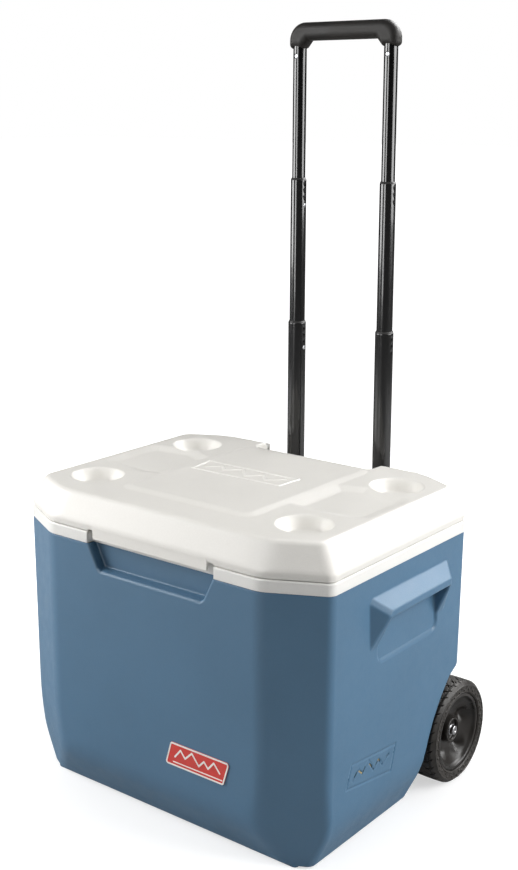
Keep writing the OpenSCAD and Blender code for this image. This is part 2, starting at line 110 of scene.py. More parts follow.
def step(t, a, b):
    u = np.clip((t - a) / (b - a), 0.0, 1.0)
    return u * u * (3 - 2 * u)


def hyp(a, b):
    return np.sqrt(a * a + b * b)


def rbox2(x, y, hx, hy, r=0.0):
    qx, qy = np.abs(x) - (hx - r), np.abs(y) - (hy - r)
    return np.sqrt(np.maximum(qx, 0) ** 2 + np.maximum(qy, 0) ** 2) + np.minimum(np.maximum(qx, qy), 0) - r


def rng2(v, lo, hi):
    """Distance to a slab between two values."""
    return np.abs(v - (lo + hi) / 2) - (hi - lo) / 2


def poly2(px, py, pts, r=0.0):
    """Distance to a closed outline given anticlockwise, its outer corners rounded by r."""
    p = np.array(pts, float)
    if r > 0:
        n = len(p)
        e = np.roll(p, -1, 0) - p
        e /= np.linalg.norm(e, axis=1)[:, None]
        nrm = np.stack([e[:, 1], -e[:, 0]], 1)
        q = []
        for i in range(n):
            n0, n1 = nrm[i - 1], nrm[i]
            a = np.array([n0, n1])
            b = np.array([n0 @ p[i] - r, n1 @ p[i] - r])
            q.append(np.linalg.solve(a, b) if abs(np.linalg.det(a)) > 1e-6 else p[i] - n1 * r)
        p = np.array(q)
    d, s = None, None
    n = len(p)
    j = n - 1
    for i in range(n):
        ex, ey = p[j] - p[i]
        wx, wy = px - p[i][0], py - p[i][1]
        t = np.clip((wx * ex + wy * ey) / (ex * ex + ey * ey), 0, 1)
        bx, by = wx - ex * t, wy - ey * t
        dd = bx * bx + by * by
        d = dd if d is None else np.minimum(d, dd)
        c1, c2, c3 = py >= p[i][1], py < p[j][1], ex * wy > ey * wx
        flip = (c1 & c2 & c3) | (~c1 & ~c2 & ~c3)
        s = np.where(flip, -1.0, 1.0) if s is None else np.where(flip, -s, s)
        j = i
    return s * np.sqrt(d) - r


def seg2(px, py, a, b):
    ex, ey = b[0] - a[0], b[1] - a[1]
    wx, wy = px - a[0], py - a[1]
    t = np.clip((wx * ex + wy * ey) / (ex * ex + ey * ey), 0, 1)
    return np.sqrt((wx - ex * t) ** 2 + (wy - ey * t) ** 2)


def strokes(px, py, lines):
    d = None
    for pts in lines:
        for a, b in zip(pts[:-1], pts[1:]):
            q = seg2(px, py, a, b)
            d = q if d is None else np.minimum(d, q)
    return d


def plane3(p0, p1, p2, inside):
    """Half space through three points, with a given point inside it: (normal, offset)."""
    a, b, c, i = (np.array(v, float) for v in (p0, p1, p2, inside))
    n = np.cross(b - a, c - a)
    n /= np.linalg.norm(n)
    if (i - a) @ n > 0:
        n = -n
    return n, float(a @ n)


def half(x, y, z, pl):
    n, d = pl
    return x * n[0] + y * n[1] + z * n[2] - d


# ------------------------------------------------------------------ meshes
def raw_mesh(name, co, tris, quads, normals=None, smooth=True):
    """Mesh from arrays, in metres in the row frame when co is body millimetres."""
    me = bpy.data.meshes.new(name)
    co = np.asarray(co, float).copy()
    co[:, 1] += YO
    co *= 0.001
    nt, nq = len(tris), len(quads)
    me.vertices.add(len(co))
    me.vertices.foreach_set("co", co.astype(np.float32).ravel())
    loops = np.concatenate([np.asarray(tris).ravel(), np.asarray(quads).ravel()]).astype(np.int32)
    me.loops.add(len(loops))
    me.loops.foreach_set("vertex_index", loops)
    me.polygons.add(nt + nq)
    start = np.concatenate([np.arange(nt) * 3, nt * 3 + np.arange(nq) * 4]).astype(np.int32)
    me.polygons.foreach_set("loop_start", start)
    me.update(calc_edges=True)
    me.validate()
    me.polygons.foreach_set("use_smooth", np.full(len(me.polygons), smooth))
    if normals is not None and len(me.vertices) == len(normals):
        me.normals_split_custom_set_from_vertices([tuple(v) for v in normals])
    ob = bpy.data.objects.new(name, me)
    SC.collection.objects.link(ob)
    return ob


def gradient(f, p, e):
    g = np.empty_like(p)
    for i in range(3):
        a, b = p.copy(), p.copy()
        a[:, i] += e
        b[:, i] -= e
        g[:, i] = (f(a[:, 0], a[:, 1], a[:, 2]) - f(b[:, 0], b[:, 1], b[:, 2])) / (2 * e)
    return g


def signed_volume(p, tris, quads):
    t = np.concatenate([tris, quads[:, [0, 1, 2]], quads[:, [0, 2, 3]]]) if len(quads) else tris
    a, b, c = p[t[:, 0]], p[t[:, 1]], p[t[:, 2]]
    return np.einsum("ij,ij->", a, np.cross(b, c))


def sdf_mesh(name, f, lo, hi, h, limit=60000, pull=2):
    """Closed surface where f is zero, at most about limit triangles, with the field's own normals."""
    ax = [lo[i] - 2 * h + h * np.arange(int(math.ceil((hi[i] - lo[i]) / h)) + 5) for i in range(3)]
    x, y, z = (a.astype(np.float32) for a in ax)
    d = f(x[:, None, None], y[None, :, None], z[None, None, :])
    d = np.clip(np.broadcast_to(d, (len(x), len(y), len(z))), -3 * h, 3 * h).astype(np.float32)
    g = vdb.FloatGrid(background=float(3 * h))
    g.copyFromArray(np.ascontiguousarray(d))
    pts, quads = g.convertToQuads(isovalue=0.0)
    p = np.array(pts, float) * h + np.array([a[0] for a in ax])
    quads = np.array(quads, np.int64).reshape(-1, 4)
    if signed_volume(p, np.zeros((0, 3), np.int64), quads) < 0:
        quads = quads[:, ::-1]
    n0 = len(quads) * 2
    ob = raw_mesh(name, p, np.zeros((0, 3), np.int64), quads)
    if n0 > limit:
        m = ob.modifiers.new("d", "DECIMATE")
        m.ratio = limit / n0
        m.use_collapse_triangulate = True
        dg = bpy.context.evaluated_depsgraph_get()
        me = bpy.data.meshes.new_from_object(ob.evaluated_get(dg))
        ob.modifiers.clear()
        old = ob.data
        ob.data = me
        bpy.data.meshes.remove(old)
        me.name = name
    me = ob.data
    co = np.empty(len(me.vertices) * 3, np.float32)
    me.vertices.foreach_get("co", co)
    p = co.reshape(-1, 3).astype(float) * 1000.0
    p[:, 1] -= YO
    e = 0.05
    for _ in range(pull):
        v = f(p[:, 0], p[:, 1], p[:, 2])
        gr = gradient(f, p, e)
        l2 = np.maximum((gr ** 2).sum(1), 0.05)
        p -= gr * (np.clip(v, -0.4 * h, 0.4 * h) / l2)[:, None]
    gr = gradient(f, p, 0.25 * h)
    gr /= np.maximum(np.linalg.norm(gr, axis=1), 1e-6)[:, None]
    q = p.copy()
    q[:, 1] += YO
    me.vertices.foreach_set("co", (q * 0.001).astype(np.float32).ravel())
    me.update()
    me.polygons.foreach_set("use_smooth", np.full(len(me.polygons), True))
    me.normals_split_custom_set_from_vertices([tuple(v) for v in gr])
    log(name, "grid", d.size, "tris", n0, "->", sum(len(pl.vertices) - 2 for pl in me.polygons) if len(me.polygons) < 300000 else "many")
    return ob


def lathe(name, profile, seg=96, axis="z", at=(0, 0, 0), closed=True):
    """Turned piece: profile is (radius, height) points; rings are joined and closed into a loop when closed."""
    pr = np.array(profile, float)
    th = np.arange(seg) * (2 * math.pi / seg)
    n = len(pr)
    ring = np.stack([np.outer(pr[:, 0], np.cos(th)), np.outer(pr[:, 0], np.sin(th)), np.repeat(pr[:, 1][:, None], seg, 1)], 2)
    p = ring.reshape(-1, 3)
    quads = []
    m = n if closed else n - 1
    i = np.arange(seg)
    j = (i + 1) % seg
    for k in range(m):
        a, b = k * seg, ((k + 1) % n) * seg
        quads.append(np.stack([a + i, a + j, b + j, b + i], 1))
    quads = np.concatenate(quads)
    tris = np.zeros((0, 3), np.int64)
    if not closed:
        c0, c1 = len(p), len(p) + 1
        p = np.concatenate([p, [[0, 0, pr[0, 1]], [0, 0, pr[-1, 1]]]])
        e = (n - 1) * seg
        tris = np.concatenate([np.stack([np.full(seg, c0), j, i], 1), np.stack([np.full(seg, c1), e + i, e + j], 1)])
    if signed_volume(p, tris, quads) < 0:
        quads, tris = quads[:, ::-1], tris[:, ::-1]
    if axis == "x":
        p = p[:, [2, 0, 1]]
    elif axis == "y":
        p = p[:, [1, 2, 0]]
    p = p + np.array(at, float)
    ob = raw_mesh(name, p, tris, quads)
    sharp_by_angle(ob, 38)
    return ob


def sharp_by_angle(ob, deg):
    me = ob.data
    import bmesh
    bm = bmesh.new()
    bm.from_mesh(me)
    lim = math.radians(deg)
    for e in bm.edges:
        e.smooth = not (len(e.link_faces) == 2 and e.calc_face_angle(0) > lim)
    bm.to_mesh(me)
    bm.free()


def arc(cx, cy, r, a0, a1, n=6):
    return [(cx + r * math.cos(math.radians(a0 + (a1 - a0) * i / n)), cy + r * math.sin(math.radians(a0 + (a1 - a0) * i / n))) for i in range(n + 1)]


def join(obs, name):
    bpy.ops.object.select_all(action="DESELECT")
    for o in obs:
        o.select_set(True)
    bpy.context.view_layer.objects.active = obs[0]
    bpy.ops.object.join()
    obs[0].name = name
    obs[0].data.name = name
    return obs[0]


def carve(ob, cut):
    m = ob.modifiers.new("b", "BOOLEAN")
    m.operation, m.object, m.solver = "DIFFERENCE", cut, "EXACT"
    dg = bpy.context.evaluated_depsgraph_get()
    me = bpy.data.meshes.new_from_object(ob.evaluated_get(dg))
    ob.modifiers.clear()
    ob.data = me
    bpy.data.objects.remove(cut)


def copy_at(ob, shift, name, mirror_x=False, rot=None):
    me = ob.data.copy()
    o = bpy.data.objects.new(name, me)
    SC.collection.objects.link(o)
    m = Matrix.Translation(Vector(shift) * 0.001)
    if rot is not None:
        m = m @ rot
    if mirror_x:
        m = Matrix.Diagonal((-1, 1, 1, 1)) @ m
    me.transform(m)
    if mirror_x:
        me.flip_normals()
    return o


def mirror_copy(ob, name):
    return copy_at(ob, (0, 0, 0), name, mirror_x=True)


# ------------------------------------------------------------------ materials
def lin(r, g, b):
    def f(c):
        c /= 255.0
        return c / 12.92 if c <= 0.04045 else ((c + 0.055) / 1.055) ** 2.4
    return (f(r), f(g), f(b))


class Mat:
    """A procedural material on a Principled shader."""

    def __init__(self, name, base, rough=0.5, metal=0.0, spec=0.5, coat=0.0, coat_rough=0.1, sheen=0.0):
        self.m = bpy.data.materials.new(name)
        self.m.use_nodes = True
        self.t = self.m.node_tree
        self.t.nodes.clear()
        self.out = self.n("ShaderNodeOutputMaterial")
        self.b = self.n("ShaderNodeBsdfPrincipled")
        self.l(self.b.outputs[0], self.out.inputs[0])
        i = self.b.inputs
        i["Base Color"].default_value = (*base, 1)
        i["Roughness"].default_value = rough
        i["Metallic"].default_value = metal
        i["Specular IOR Level"].default_value = spec
        i["Coat Weight"].default_value = coat
        i["Coat Roughness"].default_value = coat_rough
        self.tc = self.n("ShaderNodeTexCoord")
        self.base, self.rough = base, rough
        self.height = None

    def n(self, kind, **kw):
        x = self.t.nodes.new(kind)
        for k, v in kw.items():
            setattr(x, k, v)
        return x

    def l(self, a, b):
        self.t.links.new(a, b)

    def noise(self, scale, detail=4, rough=0.55, stretch=None, distort=0.0):
        x = self.n("ShaderNodeTexNoise")
        x.inputs["Scale"].default_value = scale
        x.inputs["Detail"].default_value = detail
        x.inputs["Roughness"].default_value = rough
        x.inputs["Distortion"].default_value = distort
        if stretch:
            mp = self.n("ShaderNodeMapping")
            mp.inputs["Scale"].default_value = stretch
            self.l(self.tc.outputs["Object"], mp.inputs[0])
            self.l(mp.outputs[0], x.inputs["Vector"])
        else:
            self.l(self.tc.outputs["Object"], x.inputs["Vector"])
        return x.outputs[0]

    def voro(self, scale, feature="F1", rand=1.0):
        x = self.n("ShaderNodeTexVoronoi", feature=feature)
        x.inputs["Scale"].default_value = scale
        x.inputs["Randomness"].default_value = rand
        self.l(self.tc.outputs["Object"], x.inputs["Vector"])
        return x.outputs["Distance"]

    def ramp(self, src, lo, hi, a, b):
        """Maps src from lo..hi to a..b, held at the ends."""
        x = self.n("ShaderNodeMapRange")
        x.clamp = True
        x.inputs[1].default_value, x.inputs[2].default_value = lo, hi
        x.inputs[3].default_value, x.inputs[4].default_value = a, b
        self.l(src, x.inputs[0])
        return x.outputs[0]

    def tint(self, fac, dark, light):
        x = self.n("ShaderNodeMix", data_type="RGBA")
        x.inputs[6].default_value = (*dark, 1)
        x.inputs[7].default_value = (*light, 1)
        self.l(fac, x.inputs[0])
        return x.outputs[2]

    def mixc(self, fac, a, b):
        x = self.n("ShaderNodeMix", data_type="RGBA")
        for s, v in ((6, a), (7, b)):
            if hasattr(v, "is_output"):
                self.l(v, x.inputs[s])
            else:
                x.inputs[s].default_value = (*v, 1)
        self.l(fac, x.inputs[0])
        return x.outputs[2]

    def color(self, sock):
        self.l(sock, self.b.inputs["Base Color"])
        return self

    def roughness(self, sock):
        self.l(sock, self.b.inputs["Roughness"])
        return self

    def bump(self, src, strength, dist):
        x = self.n("ShaderNodeBump")
        x.inputs["Strength"].default_value = strength
        x.inputs["Distance"].default_value = dist
        self.l(src, x.inputs["Height"])
        if self.height is not None:
            self.l(self.height, x.inputs["Normal"])
        self.height = x.outputs[0]
        self.l(self.height, self.b.inputs["Normal"])
        return self

    def edges(self, dist=0.0012):
        """Convexity from a bevel shader isn't baked everywhere, so the painted highlight on convex edges uses
        pointiness.
        """
        g = self.n("ShaderNodeNewGeometry")
        return g.outputs["Pointiness"]


def mul(c, k):
    return tuple(min(1.0, v * k) for v in c)


def mat_moulded(name, base, rough, grain=0.35, var=0.06, spec=0.5, coat=0.0):
    """Rotationally moulded or injected plastic: leather-fine grain, slow tone and gloss changes, scuffs."""
    m = Mat(name, base, rough, spec=spec, coat=coat)
    slow = m.noise(7.0, 3)
    fine = m.noise(420.0, 3, 0.6)
    cell = m.voro(900.0)
    wave = m.noise(11.0, 2)
    tone = m.ramp(slow, 0.35, 0.65, 0.0, 1.0)
    body = m.tint(tone, mul(base, 1 - var), mul(base, 1 + var))
    speck = m.ramp(fine, 0.30, 0.70, 0.0, 1.0)
    m.color(m.mixc(m.ramp(speck, 0, 1, 0.0, 0.10), body, mul(base, 0.72)))
    sc = m.noise(48.0, 5, 0.7)
    r = m.ramp(sc, 0.35, 0.75, rough - 0.04, rough + 0.07)
    m.roughness(r)
    m.bump(cell, grain, 0.00022)
    m.bump(fine, grain * 0.6, 0.00018)
    m.bump(wave, 0.16, 0.0006)
    return m.m


def mat_tube():
    base = (0.0035, 0.0034, 0.0035)
    m = Mat("black_gloss_tube", base, 0.16, spec=0.55, coat=0.35, coat_rough=0.05)
    peel = m.noise(160.0, 2)
    m.bump(peel, 0.12, 0.00015)
    scr = m.noise(30.0, 6, 0.75, stretch=(9.0, 9.0, 0.12))
    m.roughness(m.ramp(scr, 0.45, 0.75, 0.13, 0.30))
    m.color(m.tint(m.ramp(scr, 0.60, 0.80, 0.0, 1.0), base, (0.010, 0.010, 0.011)))
    return m.m


def mat_matte_black(name, base=(0.019, 0.018, 0.017), rough=0.5, grain=0.5, spec=0.42):
    m = Mat(name, base, rough, spec=spec)
    cell = m.voro(1300.0)
    fine = m.noise(700.0, 3)
    slow = m.noise(18.0, 4)
    m.color(m.tint(m.ramp(slow, 0.35, 0.7, 0, 1), mul(base, 0.75), mul(base, 1.5)))
    m.roughness(m.ramp(slow, 0.3, 0.7, rough - 0.06, rough + 0.10))
    m.bump(cell, grain, 0.00025)
    m.bump(fine, grain * 0.5, 0.00015)
    return m.m


def mat_tyre(name="tyre_plastic_worn"):
    base = (0.020, 0.0172, 0.0145)
    m = Mat(name, base, 0.52, spec=0.42)
    dust = m.noise(26.0, 6, 0.65)
    fine = m.noise(520.0, 4, 0.65)
    p = m.edges()
    d = m.ramp(dust, 0.42, 0.72, 0.0, 0.55)
    c = m.mixc(d, base, (0.052, 0.046, 0.040))
    # painted highlight: convex edges of the tread blocks and shoulder are lightened through pointiness
    m.color(m.mixc(m.ramp(p, 0.52, 0.62, 0.0, 0.35), c, (0.080, 0.072, 0.064)))
    m.roughness(m.ramp(dust, 0.35, 0.7, 0.40, 0.62))
    m.bump(fine, 0.5, 0.0003)
    m.bump(m.voro(350.0), 0.25, 0.0003)
    return m.m


def mat_steel(name="zinc_steel", base=(0.55, 0.56, 0.58), rough=0.3):
    m = Mat(name, base, rough, metal=1.0)
    br = m.noise(120.0, 5, 0.6, stretch=(1.0, 1.0, 0.2))
    spot = m.noise(45.0, 4)
    m.color(m.tint(m.ramp(spot, 0.35, 0.7, 0, 1), mul(base, 0.80), mul(base, 1.1)))
    m.roughness(m.ramp(br, 0.3, 0.7, rough - 0.08, rough + 0.14))
    m.bump(br, 0.2, 0.00008)
    return m.m


def mat_foam():
    base = lin(236, 214, 160)
    m = Mat("insulating_foam", base, 0.85, spec=0.2)
    cell = m.voro(260.0, "F1")
    slow = m.noise(14.0, 5)
    m.color(m.mixc(m.ramp(cell, 0.0, 0.7, 0.0, 0.35), m.tint(slow, mul(base, 0.86), mul(base, 1.05)), mul(base, 0.6)))
    m.bump(cell, 0.8, 0.0012)
    return m.m


def mat_rubber():
    base = (0.014, 0.014, 0.014)
    m = Mat("seal_rubber", base, 0.7, spec=0.3)
    n = m.noise(300.0, 4)
    m.color(m.tint(n, mul(base, 0.7), mul(base, 1.6)))
    m.bump(n, 0.4, 0.0002)
    return m.m


def mat_badge(name, base, rough=0.28, spec=0.5):
    m = Mat(name, base, rough, spec=spec, coat=0.5, coat_rough=0.12)
    n = m.noise(90.0, 4)
    m.color(m.tint(m.ramp(n, 0.3, 0.7, 0, 1), mul(base, 0.92), mul(base, 1.06)))
    m.bump(m.noise(600.0, 2), 0.15, 0.00008)
    return m.m


BLUE = mat_moulded("blue_moulded_plastic", (0.071, 0.160, 0.260), 0.42, grain=0.40, var=0.03, spec=0.45)
WHITE = mat_moulded("white_moulded_plastic", (0.815, 0.795, 0.750), 0.42, grain=0.28, var=0.015, spec=0.45)
LINER = mat_moulded("white_liner_plastic", (0.80, 0.79, 0.76), 0.34, grain=0.10, var=0.008, spec=0.45)
TUBE = mat_tube()
BLACK = mat_matte_black("black_moulded_plastic", (0.010, 0.0095, 0.009), 0.48)
GRIP = mat_matte_black("black_grip_plastic", (0.0066, 0.0052, 0.0040), 0.44, 0.7, 0.28)
TYRE = mat_tyre()
RIM = mat_matte_black("wheel_plastic_satin", (0.0150, 0.0130, 0.0112), 0.30, 0.25)
STEEL = mat_steel()
CAPSTEEL = mat_steel("axle_cap_steel", (0.42, 0.42, 0.43), 0.22)
FOAM = mat_foam()
RUBBER = mat_rubber()
PIN = mat_moulded("zinc_white_pin", (0.66, 0.655, 0.63), 0.34, grain=0.1, var=0.02, spec=0.6)
RED = mat_badge("badge_red", lin(206, 48, 36))
BADGEWHITE = mat_badge("badge_white", lin(240, 236, 230), 0.3)


def put(ob, body, mat, replaces=()):
    ob.data.materials.clear()
    ob.data.materials.append(mat)
    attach(ob, body)
    if replaces:
        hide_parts(*replaces)
    return ob


# ------------------------------------------------------------------ tub
CHX, CHY = 43.0 / 94.098, 83.7 / 94.098          # outward normal of a corner face
CHD = CHX * 270.0 + CHY * 166.4
HOOD_C = (262.0, 18.0, 312.0)
HP_TOP = plane3((267, 0, 359), (267, 50, 359), (290, 0, 339), HOOD_C)
HP_LIP = plane3((290, 0, 300), (290, 50, 300), (290, 0, 339), HOOD_C)
HP_UND = plane3((290, 0, 331), (290, 50, 331), (266.3, 0, 279), HOOD_C)
HP_FRO = plane3((267, -85.5, 356), (266.3, -79.5, 274), (290, -63.5, 335), HOOD_C)
HP_BEV = (np.array((0.790, -0.445, 0.421)), 397.3)
HP_REA = plane3((267, 120, 356), (266.3, 114, 274), (290, 96, 335), HOOD_C)
POCKET = [(330, 257), (330, 328.5), (283, 328.5), (270, 342.5), (261.8, 342.5), (261.2, 330), (265.4, 263.6), (271.0, 257)]
ARC_Y, ARC_Z, ARC_R = 301.7, 4.0, 233.3
WELL_X = 219.0


def well_profile(y, z):
    pts = [(400, -20), (400, 210), (166, 186)]
    for i in range(9):
        a = math.radians(46.0 * (8 - i) / 8)
        pts.append((ARC_Y - ARC_R * math.cos(a), ARC_Z + ARC_R * math.sin(a)))
    pts.append((ARC_Y - ARC_R, -20))
    return poly2(y, z, pts)


def walls(ax, ay, z, t=0.0):
    """Upright walls of the body with their draft, moved in by t."""
    ins = np.clip(385.0 - z, -2, 400) * 0.0127 + t
    a = ax - 270.0 + ins
    b = ay - 209.4 + ins
    c = ax * CHX + ay * CHY - CHD + ins
    return rmax(rmax(a, c, 15.0 - t, CHX), b, 46.0 - t, CHY)


def kicks(ax, ay, z, t=0.0):
    """The walls' lower part, leaning in to the base."""
    zb = z - 2.0
    ka = (ax - 238.9) * 0.902 - zb * 0.432
    kb = (ay - 175.0) * 0.881 - zb * 0.473
    kc = (ax * CHX + ay * CHY - 252.3) * 0.983 - zb * 0.186
    return rmax(rmax(ka, kc, 13.0, 0.485), kb, 42.0, 0.858) + t


def tub(x, y, z, t=0.0):
    ax, ay = np.abs(x), np.abs(y)
    f = smax(walls(ax, ay, z, t), kicks(ax, ay, z, t), 10.0)
    return rmax(f, (2.0 + t) - z, 6.0, 0.45)


def hood(ax, y, z):
    f = rmax(half(ax, y, z, HP_TOP), half(ax, y, z, HP_LIP), 3.4, 0.656)
    f = rmax(f, half(ax, y, z, HP_UND), 2.4, 0.926)
    f = rmax(f, half(ax, y, z, HP_FRO), 3.2, 0.35)
    f = rmax(f, half(ax, y, z, HP_BEV), 6.0, 0.83)
    f = rmax(f, half(ax, y, z, HP_REA), 5.0, 0.35)
    return np.maximum(f, 258.0 - ax)


def pocket(ax, y, z, t=0.0):
    xz = poly2(ax, z, POCKET, 0.0) - t
    yz = rbox2(y - 18.0, z - 330.0, 75.5 + t, 74.0 + t, 19.0)
    return rmax(xz, yz, 3.0, 0.0)


def recess(x, y, z, t=0.0):
    """Finger recess under the front edge of the lid."""
    xz = poly2(np.abs(x), z, [(-10, 349.0), (89.5, 349.0), (94.5, 352.5), (110.8, 384.4), (112.5, 420), (-10, 420)], 0.0) - t
    # the ledge rises slightly towards the back
    back = -(y + 194.0) - t
    ledge = (349.0 + (y + 209.0) * 0.16) - z - t
    f = rmax(xz, ledge, 4.0, -0.999) if False else np.maximum(xz, ledge)
    return rmax(f, -back, 2.0, 0.0)


SIDE_MARK = [(-4.2, 124.6), (-15.4, 89.1), (-123.2, 106.2), (-112.6, 137.1)]


def side_relief(y, z):
    """Sunk frame and ridge line on the right end."""
    inner = strokes(y, z, [SIDE_MARK + SIDE_MARK[:1]])
    ridge = strokes(y, z, [[(-108, 113), (-96, 124), (-86, 114), (-72, 127), (-58, 108), (-46, 119), (-36, 106), (-22, 116)]])
    return inner, ridge


def shell_field(x, y, z):
    ax = np.abs(x)
    f = tub(x, y, z)
    f = rmin(f, hood(ax, y, z), 2.5, 0.6)
    wy = well_profile(y, z)
    well = rmax(wy, WELL_X - ax, 4.0, 0.0)
    f = rmax(f, -well, 2.4, 0.0)
    pk = pocket(ax, y, z)
    f = rmax(f, -pk, 4.4, 0.2)
    # feet under the front edge
    ft = rmax(rbox2(ax - 176.5, y + 152.0, 45.5, 20.0, 6.0), rng2(z, 0.0, 4.0), 1.2, 0.0)
    f = smin(f, ft, 1.5)
    # inside
    w = 3.1
    ca = tub(x, y, z, w)
    ca = np.maximum(ca, -(rmax(wy, WELL_X - ax, 4.0, 0.0) - w))
    ca = np.maximum(ca, -(pk - w))
    rc = recess(x, y, z)
    ca = np.maximum(ca, -(rc - w))
    f = rmax(f, -rc, 4.2, 0.0)
    f = np.maximum(f, -ca)
    # flat seat round the drain, and its passage
    dr = hyp(y + 60.0, z - 62.0)
    seat = np.maximum(dr - 20.2, x + 262.5)
    f = rmax(f, -seat, 0.8, 0.0)
    f = np.maximum(f, -np.maximum(dr - 10.05, x + 230.0))
    # passage of the axle
    f = np.maximum(f, -np.maximum(hyp(y - 166.5, z - 76.2) - 8.05, ax - 230.0))
    # sunk mark on the right end
    yy, zz = np.broadcast_arrays(y, z)
    fr, rd = side_relief(yy, zz)
    ink = np.maximum(1 - np.clip(fr - 0.9, 0, 1.4) / 1.4, 1 - np.clip(rd - 1.4, 0, 1.4) / 1.4)
    ink = np.where(zz < 160, ink, 0.0)
    f = np.where(x > 150, f + 0.75 * ink * (ax > 240), f)
    return np.maximum(f, z - 385.0)


def build_shell():
    h = 1.7
    ob = sdf_mesh("tub_shell", shell_field, (-290, -210, 0), (290, 210, 385), h, 130000)
    return put(ob, "cooler_body", BLUE, ["outer_shell"])


# ------------------------------------------------------------------ lid
CUPS = [(-186.5, -112), (186.5, -112), (-186.5, 112), (186.5, 112)]
PLATE = [(-95.4, -4.4), (61.1, 0.0), (64.4, 42.0), (-100.9, 41.6)]
DISH = [(118, -50), (150, -61), (224, -52), (239, -38), (240, 56), (226, 70), (160, 79), (118, 62)]


def lid_height(x, y):
    ax = np.abs(x)
    hgt = 449.5 + 2.5 * step(-rbox2(x, y - 8.0, 112, 142, 16), -9.0, 8.0)
    dd = poly2(ax, y, DISH, 8.0)
    hgt = hgt - 4.2 * step(-dd, -4.0, 20.0)
    for cx, cy in CUPS:
        r = hyp(x - cx, y - cy)
        bowl = 16.0 * (1 - step(r, 25.0, 40.5))
        hgt = hgt - bowl
    # generic relief: a frame with a ridge line in it
    fr = strokes(x, y, [PLATE + PLATE[:1]])
    rd = strokes(x, y, [[(-86, 12), (-66, 30), (-52, 15), (-30, 34), (-8, 10), (12, 28), (28, 12), (50, 30)]])
    hgt = hgt + 1.1 * (1 - step(fr, 0.8, 3.0)) + 1.1 * (1 - step(rd, 1.2, 3.6))
    return hgt


def lid_out(x, y, z, t=0.0, bottom=True):
    ax, ay = np.abs(x), np.abs(y)
    # lower band flares out to its widest line, then the sides slope in to the top
    lo = (z - 412.7) * 0.30
    ins = np.where(z < 412.7, -lo, 0.0)
    a1, b1, c1 = ax - 271.0, ay - 210.3, ax * CHX + ay * CHY - (CHD + 0.9)
    band = rmax(rmax(a1, c1, 16.0, CHX), b1, 60.0, CHY) + np.clip((412.7 - z) * 0.24, 0, 4.0)
    s1, s2 = 21.0 / 36.8, 17.7 / 36.8
    zc = z - 412.7
    na, nb = 1 / math.hypot(1, s1), 1 / math.hypot(1, s2)
    sa = (a1 + zc * s1) * na
    sb = (b1 + zc * s2) * nb
    s3 = 17.0 / 36.8
    sc = (c1 + zc * s3) / math.hypot(1, s3)
    slope = rmax(rmax(sa, sc, 22.0, 0.55), sb, 84.0, 0.87)
    f = smax(band, slope, 2.6) + t
    hgt = lid_height(x, y)
    e = 0.5
    gx = (lid_height(x + e, y) - lid_height(x - e, y)) / (2 * e)
    gy = (lid_height(x, y + e) - lid_height(x, y - e)) / (2 * e)
    top = (z - hgt) / np.sqrt(1 + gx * gx + gy * gy) + t
    f = rmax(f, top, 11.0, 0.5)
    return f


def notch(x, y, z, t=0.0):
    yz = poly2(y, z, [(162, 451), (188, 413), (189, 395), (300, 395), (300, 480), (162, 480)], 0.0) - t
    return rmax(yz, np.abs(x) - 108.0 - t, 8.0, 0.0)


def lid_field(x, y, z):
    f = lid_out(x, y, z)
    ins = lid_out(x, y, z, 2.6)
    nt = notch(x, y, z)
    f = rmax(f, -nt, 6.5, 0.2)
    # tongue over the front of the rim
    tg = rmax(rbox2(x, z - 402.0, 102.5, 9.0, 3.0), rng2(y, -209.6, -206.4), 1.0, 0.0)
    tg = np.maximum(tg, z - 411.0)
    cav = np.maximum(ins, -(nt - 2.6))
    f = np.maximum(f, -cav)
    f = np.maximum(f, 402.8 - z)
    f = smin(f, tg, 1.2)
    # gap each side of the tongue
    gap = np.maximum(rbox2(np.abs(x) - 107.5, z - 399.0, 4.6, 6.5, 2.0), y + 203.0)
    return np.maximum(f, -gap)


def build_lid():
    ob = sdf_mesh("lid_skin", lid_field, (-272, -212, 393), (272, 212, 453), 1.3, 120000)
    return put(ob, "lid", WHITE, ["lid_top"])


def lid_foam_field(x, y, z):
    f = lid_out(x, y, z, 3.6)
    f = np.maximum(f, 405.8 - z)
    f = np.maximum(f, -(notch(x, y, z) - 3.6))
    f = np.maximum(f, -np.maximum(np.abs(x) - 106.0, y + 198.5))
    ax = np.abs(x)
    return np.maximum(f, -np.maximum(np.abs(ax - 140.0) - 16.5, 184.5 - y))


def build_lid_foam():
    ob = sdf_mesh("lid_foam_v", lid_foam_field, (-266, -206, 405), (266, 206, 449), 2.4, 24000)
    return put(ob, "lid", FOAM, ["lid_foam"])


def pan_field(x, y, z):
    ax, ay = np.abs(x), np.abs(y)
    o = rmax(rmax(ax - 265.4, ax * CHX + ay * CHY - (CHD - 4.8), 12.0, CHX), ay - 204.7, 54.0, CHY)
    o = np.maximum(o, -rmax(ax - 112.0, -184.8 + y if False else 184.8 - y, 3.0, 0.0))
    o = np.maximum(o, -rmax(ax - 116.0, y + 199.5, 3.0, 0.0))
    plate = rmax(o, rng2(z, 402.8, 405.3), 0.9, 0.0)
    t = (402.8 - z) * 0.21
    p = rbox2(x, y - 1.0, 206.0, 161.0, 19.0) + np.clip(t, 0, 4)
    plug = rmax(p, 388.0 - z, 5.0, 0.0)
    plug = np.maximum(plug, z - 404.0)
    f = smin(plate, plug, 3.0)
    cav = np.maximum(p + 2.5, 390.6 - z)
    # hollow the plug from above, leaving a wall about 2.5 mm thick
    f = np.maximum(f, -np.maximum(cav, z - 420))
    return f


def build_pan():
    ob = sdf_mesh("lid_pan", pan_field, (-266, -205.5, 387), (266, 205.5, 406), 1.25, 60000)
    return put(ob, "lid", LINER, ["lid_underpan"])


